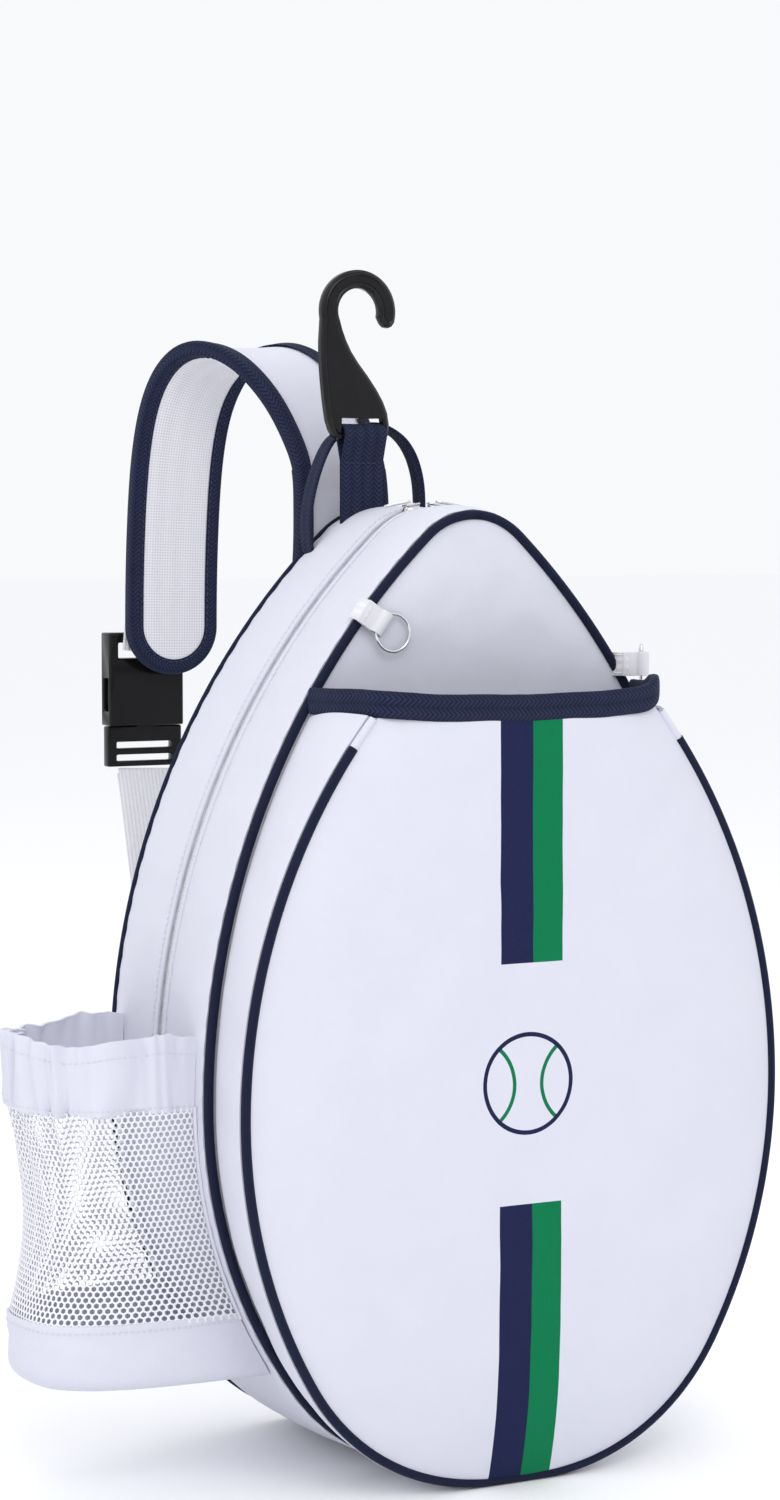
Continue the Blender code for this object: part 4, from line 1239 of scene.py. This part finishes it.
def box_stitch(name, ribbon, s0, s1, half, h, up_sign, look, body):
    """A sewn rectangle with a cross in it."""
    corners = [(s0, -half), (s1, -half), (s1, half), (s0, half), (s0, -half), (s1, half),
               (s1, -half), (s0, half)]
    path, normals = [], []
    for (sa, ta), (sb, tb) in zip(corners, corners[1:]):
        for i in range(12):
            k = i / 12
            place, _, across, up = ribbon.frame(sa + (sb - sa) * k)
            path.append(place + across * (ta + (tb - ta) * k) + up * h)
            normals.append(up * up_sign)
    stitches(name, path, normals, look, body, 0.0028)


def make_straps():
    make_pad()
    half = 0.0150
    cx, cy, cz = BUCKLE
    y_face = 0.1740 + PAD_THICK / 2 + 0.0014
    y_pass = cy - 0.0060 - 0.0003 - WEBBING / 2
    upper = [(-0.0660, y_face, 0.4900), (-0.0680, y_face + 0.0006, 0.4600),
             (-0.0710, y_face + 0.0006, 0.4350),
             (cx + 0.0015, y_pass, 0.4150), (cx, y_pass, cz + 0.0400)]
    ribbon = Ribbon(upper, 8)
    ribbon.band("strap_webbing_upper_woven", 0, ribbon.length, 40, half, 0.0, WEBBING, "webbing",
                "shoulder_strap",
                ("strap_webbing_upper",))
    box_stitch("upper_box_stitch", ribbon, 0.003, 0.026, half - 0.002, -WEBBING / 2 - 0.0001, -1,
               "white_thread",
               "shoulder_strap")
    lower = [(cx, cy - 0.0010, cz - 0.0240), (cx - 0.0010, 0.1740, 0.3100),
             (cx - 0.0040, 0.1480, 0.2450),
             (cx - 0.0080, 0.1200, 0.1760), (cx - 0.0120, 0.0960, 0.1150),
             STRAP_BOTTOM + SWING * 0.0125,
             STRAP_BOTTOM + SWING * 0.0065, STRAP_BOTTOM + SWING * 0.0005]
    ribbon = Ribbon(lower, 10)
    ribbon.band("strap_webbing_lower_woven", 0, ribbon.length, 90, half, 0.0, WEBBING, "webbing",
                "shoulder_strap",
                ("strap_webbing_lower",))
    ribbon.band("strap_webbing_tail_woven", 0.0020, 0.1050, 40, half, -WEBBING - 0.0007,
                WEBBING * 0.95, "webbing",
                "shoulder_strap", ("strap_webbing_tail",))
    anchor = [(STRAP_BOTTOM.x + 0.0080, 0.0600, 0.0455), (STRAP_BOTTOM.x + 0.0030, 0.0645, 0.0540),
              STRAP_BOTTOM - SWING * 0.0090, STRAP_BOTTOM - SWING * 0.0046,
              STRAP_BOTTOM - SWING * 0.0002]
    ribbon = Ribbon(anchor, 6)
    ribbon.band("strap_anchor_cloth", 0, ribbon.length, 30, half + 0.003, 0.0, 0.0028, "canvas",
                "bag",
                ("strap_anchor",))
    box_stitch("anchor_box_stitch", ribbon, 0.004, 0.015, half - 0.002, -0.0015, -1, "white_thread",
               "bag")
    make_strap_root()


# ---- top fittings ------------------------------------------------------------------------------
TAB_LOW, TAB_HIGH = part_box("hook_tab")
TAB_X = (TAB_LOW.x + TAB_HIGH.x) / 2
HOOK_BAR_Z = 0.5170
TAB_PIVOT_Z = 0.4810
TAB_Y = 0.0418


def make_hook_tab():
    """Webbing doubled through the hook's eye, with a stitch line under the bar."""
    outer, thin, half = 0.0057, 0.0013, (TAB_HIGH.x - TAB_LOW.x) / 2
    line = [(-thin, TAB_PIVOT_Z - 0.0150), (-thin, TAB_PIVOT_Z + 0.008),
            (-thin, HOOK_BAR_Z - 0.0135)]
    line += [(-outer * math.cos(a), HOOK_BAR_Z + outer * math.sin(a))
             for a in [math.radians(-28 + 236 * i / 22) for i in range(23)]]
    line += [(thin, HOOK_BAR_Z - 0.0135), (thin, TAB_PIVOT_Z + 0.008), (thin, TAB_PIVOT_Z - 0.0150)]
    path = resample([(0, TAB_Y + y, z) for y, z in line], 90)
    marks = lengths_of(path)
    grid, lays = [], []
    for p, m in zip(path, marks):
        grid.append([Vector((TAB_X + half * (2 * j / 16 - 1), p.y, p.z)) for j in range(17)])
        lays.append([(m, half * (2 * j / 16 - 1)) for j in range(17)])
    centre = Vector((0, TAB_Y, HOOK_BAR_Z))

    def outward(p):
        if p.z < HOOK_BAR_Z - 0.006:
            return Vector((0, p.y - TAB_Y, 0))
        return Vector((0, p.y - centre.y, p.z - centre.z))

    tab = shell("hook_tab_webbing", grid, lays, 0.0011, "tape", None, ("hook_tab",), outward)
    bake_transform(tab)
    for side, sign in (("front", -1), ("rear", 1)):
        row = [Vector((TAB_X + half * 0.86 * (2 * i / 10 - 1), TAB_Y + sign * (thin + 0.0001),
                       HOOK_BAR_Z - 0.0145))
               for i in range(11)]
        stitches("hook_tab_stitches_" + side, row, [Y_AXIS * sign] * 11, "navy_thread", "hook_tab",
                 0.0030)


def cut_through(obj, tools):
    """Takes the tools out of a piece, for good."""
    for tool in tools:
        modifier = obj.modifiers.new("cut", "BOOLEAN")
        modifier.operation = "DIFFERENCE"
        modifier.solver = "EXACT"
        modifier.object = tool
    bpy.context.view_layer.update()
    mesh = bpy.data.meshes.new_from_object(obj.evaluated_get(bpy.context.evaluated_depsgraph_get()))
    obj.modifiers.clear()
    obj.data = mesh
    for tool in tools:
        bpy.data.objects.remove(tool)


def plate(name, loop, y0, y1, bevel=0.0):
    """A flat plate between two depths, from an outline in the XZ plane, its rims rounded."""
    bm = bmesh.new()
    front = [bm.verts.new((x, y0, z)) for x, z in loop]
    rear = [bm.verts.new((x, y1, z)) for x, z in loop]
    count = len(loop)
    for j in range(count):
        k = (j + 1) % count
        bm.faces.new((front[j], front[k], rear[k], rear[j]))
    bm.faces.new(front)
    bm.faces.new(rear)
    bmesh.ops.recalc_face_normals(bm, faces=bm.faces)
    if bevel:
        rims = [e for e in bm.edges if abs(e.verts[0].co.y - e.verts[1].co.y) < 1e-7]
        bmesh.ops.bevel(bm, geom=rims, offset=bevel, segments=3, profile=0.5, affect="EDGES",
                        clamp_overlap=True)
    return mesh_object(name, bm)


def make_fence_hook():
    """Moulded hook: a web inside a raised rounded rim, with two slots over the tab."""
    depth, bar = 0.0068, 0.0025
    base = HOOK_BAR_Z - bar
    cx, cz, r_out, r_in = -0.0025, 0.066, 0.0213, 0.0118

    def bend(radius, start, stop, count):
        return [(p.x, p.z) for p in arc(cx, cz, radius, start, stop, count)]

    left = [(-0.0135, 0.0), (-0.0168, 0.0014), (-0.0190, 0.0048), (-0.0207, 0.0100),
            (-0.0222, 0.0200),
            (-0.0233, 0.0300), (-0.0240, 0.0400), (-0.0242, 0.0500)]
    crook = bend(r_out, math.pi * 1.06, -0.12, 48)
    tip = [(0.0181, 0.0606), (0.0166, 0.0586), (0.0147, 0.0578), (0.0125, 0.0583), (0.0108, 0.0600)]
    throat = bend(r_in, -0.22, math.pi * 1.12, 36)
    right = [(-0.0118, 0.0560), (-0.0098, 0.0510), (-0.0068, 0.0452), (-0.0026, 0.0393),
             (0.0026, 0.0330),
             (0.0078, 0.0260), (0.0116, 0.0198), (0.0140, 0.0140), (0.0150, 0.0080),
             (0.0147, 0.0030),
             (0.0130, 0.0)]
    outline = left + crook + tip + throat + right
    loop = [(TAB_X + u, base + v) for u, v in outline]
    web = plate("fence_hook_web", loop, TAB_Y - depth * 0.38, TAB_Y + depth * 0.38, 0.0009)
    slot_low, slot_high = base + 2 * bar, base + 2 * bar + 0.0060
    tools = []
    for u0, u1 in ((-0.0126, -0.0004), (0.0008, 0.0126)):
        corners = [(u0, slot_low), (u1, slot_low), (u1, slot_high), (u0, slot_high)]
        tools.append(plate("tool", [(TAB_X + u, z) for u, z in corners], TAB_Y - 0.01,
                           TAB_Y + 0.01))
    cut_through(web, tools)
    web.data.shade_smooth()
    web.data.set_sharp_from_angle(angle=math.radians(40))
    dress(web, "plastic", "fence_hook", ("fence_hook",))
    path = resample([Vector((x, TAB_Y, z)) for x, z in loop + loop[:1]], 260)[:-1]
    rim_r = 0.0027
    inward = offset(path, -rim_r * 0.72, True)
    if sum((p - Vector((TAB_X, TAB_Y, base + 0.02))).length for p in inward) > sum(
            (p - Vector((TAB_X, TAB_Y, base + 0.02))).length for p in path):
        inward = offset(path, rim_r * 0.72, True)
    rings, lays = [], []
    for i, p in enumerate(inward):
        a, b = inward[i - 1], inward[(i + 1) % len(inward)]
        along = (b - a).normalized()
        side = along.cross(Y_AXIS)
        angles = round_angles(12)
        rings.append([p + side * rim_r * 0.72 * math.cos(q) + Y_AXIS * depth / 2 * math.sin(q)
                      for q in angles])
        lays.append([(0.001 * i, q * 0.001) for q in angles])
    sweep("fence_hook_rim", rings, lays, "plastic", "fence_hook", (), True)


def make_grab_handle():
    y0, y1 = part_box("grab_handle")[0].y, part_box("grab_handle")[1].y
    half, top = 0.0325, 0.5225
    line = [(-half + 0.0010, 0.4470), (-half - 0.0015, 0.4720), (-half + 0.0030, 0.4950),
            (-half * 0.62, 0.5140),
            (-half * 0.2, top - 0.0015), (half * 0.25, top), (half * 0.72, 0.5130),
            (half - 0.001, 0.4935), (half, 0.4610)]
    path = resample(smooth_path([(CENTRE_X + x, 0, z) for x, z in line], 12), 110)
    marks = lengths_of(path)
    thick, middle, reach = 0.0011, (y0 + y1) / 2, (y1 - y0) / 2
    rings, lays = [], []
    for i, p in enumerate(path):
        along = (path[min(i + 1, len(path) - 1)] - path[max(i - 1, 0)]).normalized()
        side = along.cross(Y_AXIS).normalized()
        ring, row = [], []
        for j in range(24):
            a = TAU * j / 24
            t = reach * squarish(math.cos(a), 0.5)
            ring.append(p + Y_AXIS * (middle + t) + side * thick * squarish(math.sin(a), 0.6))
            row.append((marks[i], t))
        rings.append(ring)
        lays.append(row)
    sweep("grab_handle_webbing", rings, lays, "tape", "grab_handle", ("grab_handle",))


def make_zip_sliders():
    """Two small cast sliders that meet at the top, each with a slim looped pull."""
    centre = Vector((0, 0, HEIGHT - TOP_R))
    for side, sign in (("left", -1), ("right", 1)):
        turn = sign * math.radians(9.5)
        out = Vector((math.sin(turn), 0, math.cos(turn)))
        along = Vector((math.cos(turn), 0, -math.sin(turn))) * sign
        rings, lays = [], []
        for height, scale in ((0.0002, 0.90), (0.0008, 1.0), (0.0018, 0.82), (0.0024, 0.80),
                              (0.0032, 0.96),
                              (0.0038, 0.86)):
            ring = []
            for j in range(24):
                a = TAU * j / 24
                u = 0.0050 * squarish(math.cos(a), 0.6)
                v = (0.0038 - 0.06 * max(u, 0)) * squarish(math.sin(a), 0.7)
                ring.append(centre + out * (TOP_R + height) + (along * u + Y_AXIS * v) * scale)
            rings.append(ring)
            lays.append([(height, 0.0)] * 24)
        sweep("zip_slider_%s_cast" % side, rings, lays, "steel", "zip_slider_" + side,
              ("zip_slider_" + side,))
        hinge = centre + out * (TOP_R + 0.0053) + along * 0.0010
        path = []
        for j in range(40):
            a = TAU * j / 40
            u = 0.0066 + 0.0072 * squarish(math.cos(a), 0.8)
            v = 0.0020 * squarish(math.sin(a), 0.7)
            path.append(hinge - out * 0.0003 + along * u + Y_AXIS * v)
        tube("zip_pull_%s_loop" % side, path, 0.0006, 8, "steel", "zip_pull_" + side,
             ("zip_pull_" + side,), True)


def make_tab_roots():
    """The ring tabs' sewn ends, which pass over the piping into the front seam."""
    for joint in frame["joints"]:
        if not joint["name"].startswith("ring_"):
            continue
        side = joint["child"].split("_")[1]
        axis = Vector(joint["axis"]).normalized()
        along = Y_AXIS.cross(axis).normalized()
        if along.x < 0:
            along = -along
        pivot = Vector(joint["pos_m"])
        rings, lays = [], []
        for k in range(9):
            t = k / 8
            middle = pivot - along * (0.0085 + 0.0055 * t) + Y_AXIS * (0.0005 + 0.0048 * t ** 3)
            ring = []
            for j in range(16):
                a = TAU * j / 16
                across = 0.0060 * squarish(math.cos(a), 0.4)
                ring.append(middle + axis * across + Y_AXIS * 0.0013 * math.sin(a))
            rings.append(ring)
            lays.append([(0.0055 * t, 0.0060 * math.cos(TAU * j / 16)) for j in range(16)])
        sweep("ring_tab_%s_root" % side, rings, lays, "webbing", "bag")


def make_rings():
    for joint in frame["joints"]:
        if not joint["name"].startswith("ring_"):
            continue
        side = joint["child"].split("_")[1]
        low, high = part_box("ring_" + side)
        centre = (low + high) / 2
        axis = Vector(joint["axis"]).normalized()
        pivot = Vector(joint["pos_m"])
        reach = (centre - pivot) - axis * (centre - pivot).dot(axis)
        reach.normalize()
        wire = 0.0009
        radius = 0.0092
        centre = pivot + reach * (radius - 0.00115)
        path = [centre + radius * (reach * math.cos(a) + axis * math.sin(a))
                for a in round_angles(72)]
        tube("ring_%s_wire" % side, path, wire, 12, "steel", "ring_" + side, ("ring_" + side,),
             True)


# ---- padded back ---------------------------------------------------------------------------------
PAD_VOXEL = 0.0040        # grid of the remesh before the cloth
PAD_HELD = 0.0022         # this depth of the pad is sewn down
PAD_PRESSURE = 4.0
PAD_FRAMES = 20
PAD_SWELL = 0.0055        # the cloth moves a point this far at most
PAD_CHANNELS = (-0.062, 0.062)
CHANNEL_WIDTH = 0.0045
CHANNEL_DEPTH = 0.0056
PAD_EDGE = 0.0200         # the tube round the pad lies this far inside the body's outline


def make_back_cushion():
    """Spacer-mesh back pad: swollen by cloth pressure, then drawn in along its sewn channels."""
    low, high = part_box("back_cushion")
    bm = bmesh.new()
    bm.from_mesh(frame["nodes"]["back_cushion"].data)
    bmesh.ops.remove_doubles(bm, verts=bm.verts, dist=1e-6)
    pad = mesh_object("back_cushion_padded", bm)
    remesh = pad.modifiers.new("remesh", "REMESH")
    remesh.mode = "VOXEL"
    remesh.voxel_size = PAD_VOXEL
    apply_all(pad)
    start = [v.co.copy() for v in pad.data.vertices]
    held = pad.vertex_groups.new(name="held")
    sewn = [v.index for v in pad.data.vertices if v.co.y < low.y + PAD_HELD]
    held.add(sewn, 1.0, "REPLACE")
    cloth = pad.modifiers.new("cloth", "CLOTH")
    cloth.settings.use_pressure = True
    cloth.settings.uniform_pressure_force = PAD_PRESSURE
    cloth.settings.effector_weights.gravity = 0.0
    cloth.settings.vertex_group_mass = "held"
    cloth.settings.quality = 6
    cloth.point_cache.frame_end = PAD_FRAMES
    for step in range(1, PAD_FRAMES + 1):
        bpy.context.scene.frame_set(step)
    apply_all(pad)
    bpy.context.scene.frame_set(1)
    for vert, first in zip(pad.data.vertices, start):
        move = vert.co - first
        if move.length > PAD_SWELL:
            vert.co = first + move * PAD_SWELL / move.length
        vert.co.y = max(vert.co.y, low.y)
        front = min(max((vert.co.y - low.y) / (high.y - low.y), 0.0), 1.0)
        deep = sum(math.exp(-((vert.co.x - x) / CHANNEL_WIDTH) ** 2) for x in PAD_CHANNELS)
        vert.co.y -= CHANNEL_DEPTH * deep * front
    soften = pad.modifiers.new("soften", "SUBSURF")
    soften.levels = 1
    soften.render_levels = 1
    apply_all(pad)
    pad.data.attributes.new("lay", "FLOAT_VECTOR", "POINT")
    flat = []
    for vert in pad.data.vertices:
        flat += [vert.co.x, vert.co.z, 0.0]
    pad.data.attributes["lay"].data.foreach_set("vector", flat)
    pad.data.shade_smooth()
    dress(pad, "lining", "bag", ("back_cushion",))
    middle_z = (low.z + high.z) / 2
    loop = [Vector((p.x, low.y + 0.0010, middle_z + (p.z - middle_z) * 1.013))
            for p in offset(BODY_LOOP, PAD_EDGE, True) if low.z <= p.z <= high.z + 0.0004]
    split = next(i for i in range(len(loop) - 1)
                 if loop[i].x < 0 <= loop[i + 1].x or (loop[i + 1] - loop[i]).length > 0.05)
    ordered = loop[split + 1:] + loop[:split + 1]
    tube("back_cushion_edge", resample(ordered + ordered[:1], 240)[:-1], 0.0016, 8, "cord", "bag",
         (), True)


def apply_all(obj):
    """Makes an object's modifiers permanent."""
    bpy.context.view_layer.update()
    mesh = bpy.data.meshes.new_from_object(obj.evaluated_get(bpy.context.evaluated_depsgraph_get()))
    obj.modifiers.clear()
    obj.data = mesh


for node in ("back_board", "base_board"):
    frame["nodes"][node].data.materials.clear()
    frame["nodes"][node].data.materials.append(LOOKS["board"][1])

make_body()
make_panels()
make_pocket_gusset()
make_binding()
make_zip()
make_hard_parts()
make_bottle_pocket()
make_straps()
make_hook_tab()
make_fence_hook()
make_grab_handle()
make_rings()
make_zip_sliders()
make_tab_roots()
make_back_cushion()


# ---- floor, light, camera ----------------------------------------------------------------------
FLOOR_HALF = 30.0
FLOOR_COLOUR = (0.975, 0.980, 0.990)
WORLD_COLOUR = (0.97, 0.98, 1.0, 1.0)
WORLD_STRENGTH = 0.97
LAMP_AIM = Vector((-0.03, -0.02, 0.28))
LAMPS = (                 # name, place, size, power
    ("key", (-0.6, -2.2, 2.2), 1.6, 22.0),
    ("side", (-2.4, -0.2, 1.2), 1.4, 7.0),
    ("top", (0.3, 0.8, 2.8), 1.8, 12.0),
)
CAMERA_PLACE = Vector((-0.8029, -1.4987, 0.4662))
CAMERA_AIM = Vector((-0.0357, -0.0316, 0.3584))
CAMERA_LENS = 79.87       # mm, on a sensor 36 mm high


def look_at(obj, place, aim):
    """Puts a lamp or camera at a place, facing a point."""
    obj.location = place
    obj.rotation_euler = (aim - obj.location).to_track_quat("-Z", "Y").to_euler()


def make_stage():
    bm = bmesh.new()
    bmesh.ops.create_grid(bm, x_segments=8, y_segments=8, size=FLOOR_HALF)
    floor = mesh_object("studio_floor", bm)
    shader = Shader("pale_floor", FLOOR_COLOUR, 0.8)
    floor.data.materials.append(shader.material)
    world = bpy.data.worlds.new("studio")
    world.use_nodes = True
    background = world.node_tree.nodes["Background"]
    background.inputs["Color"].default_value = WORLD_COLOUR
    background.inputs["Strength"].default_value = WORLD_STRENGTH
    bpy.context.scene.world = world
    for name, place, size, power in LAMPS:
        light = bpy.data.lights.new(name, "AREA")
        light.size = size
        light.energy = power
        look_at(new_object(name, light), place, LAMP_AIM)


def make_camera():
    data = bpy.data.cameras.new("camera")
    data.sensor_fit = "VERTICAL"
    data.sensor_height = 36.0
    data.lens = CAMERA_LENS
    data.clip_start = 0.05
    camera = new_object("camera", data)
    look_at(camera, CAMERA_PLACE, CAMERA_AIM)
    bpy.context.scene.camera = camera
    bpy.context.scene.view_settings.view_transform = "Standard"


make_stage()
make_camera()
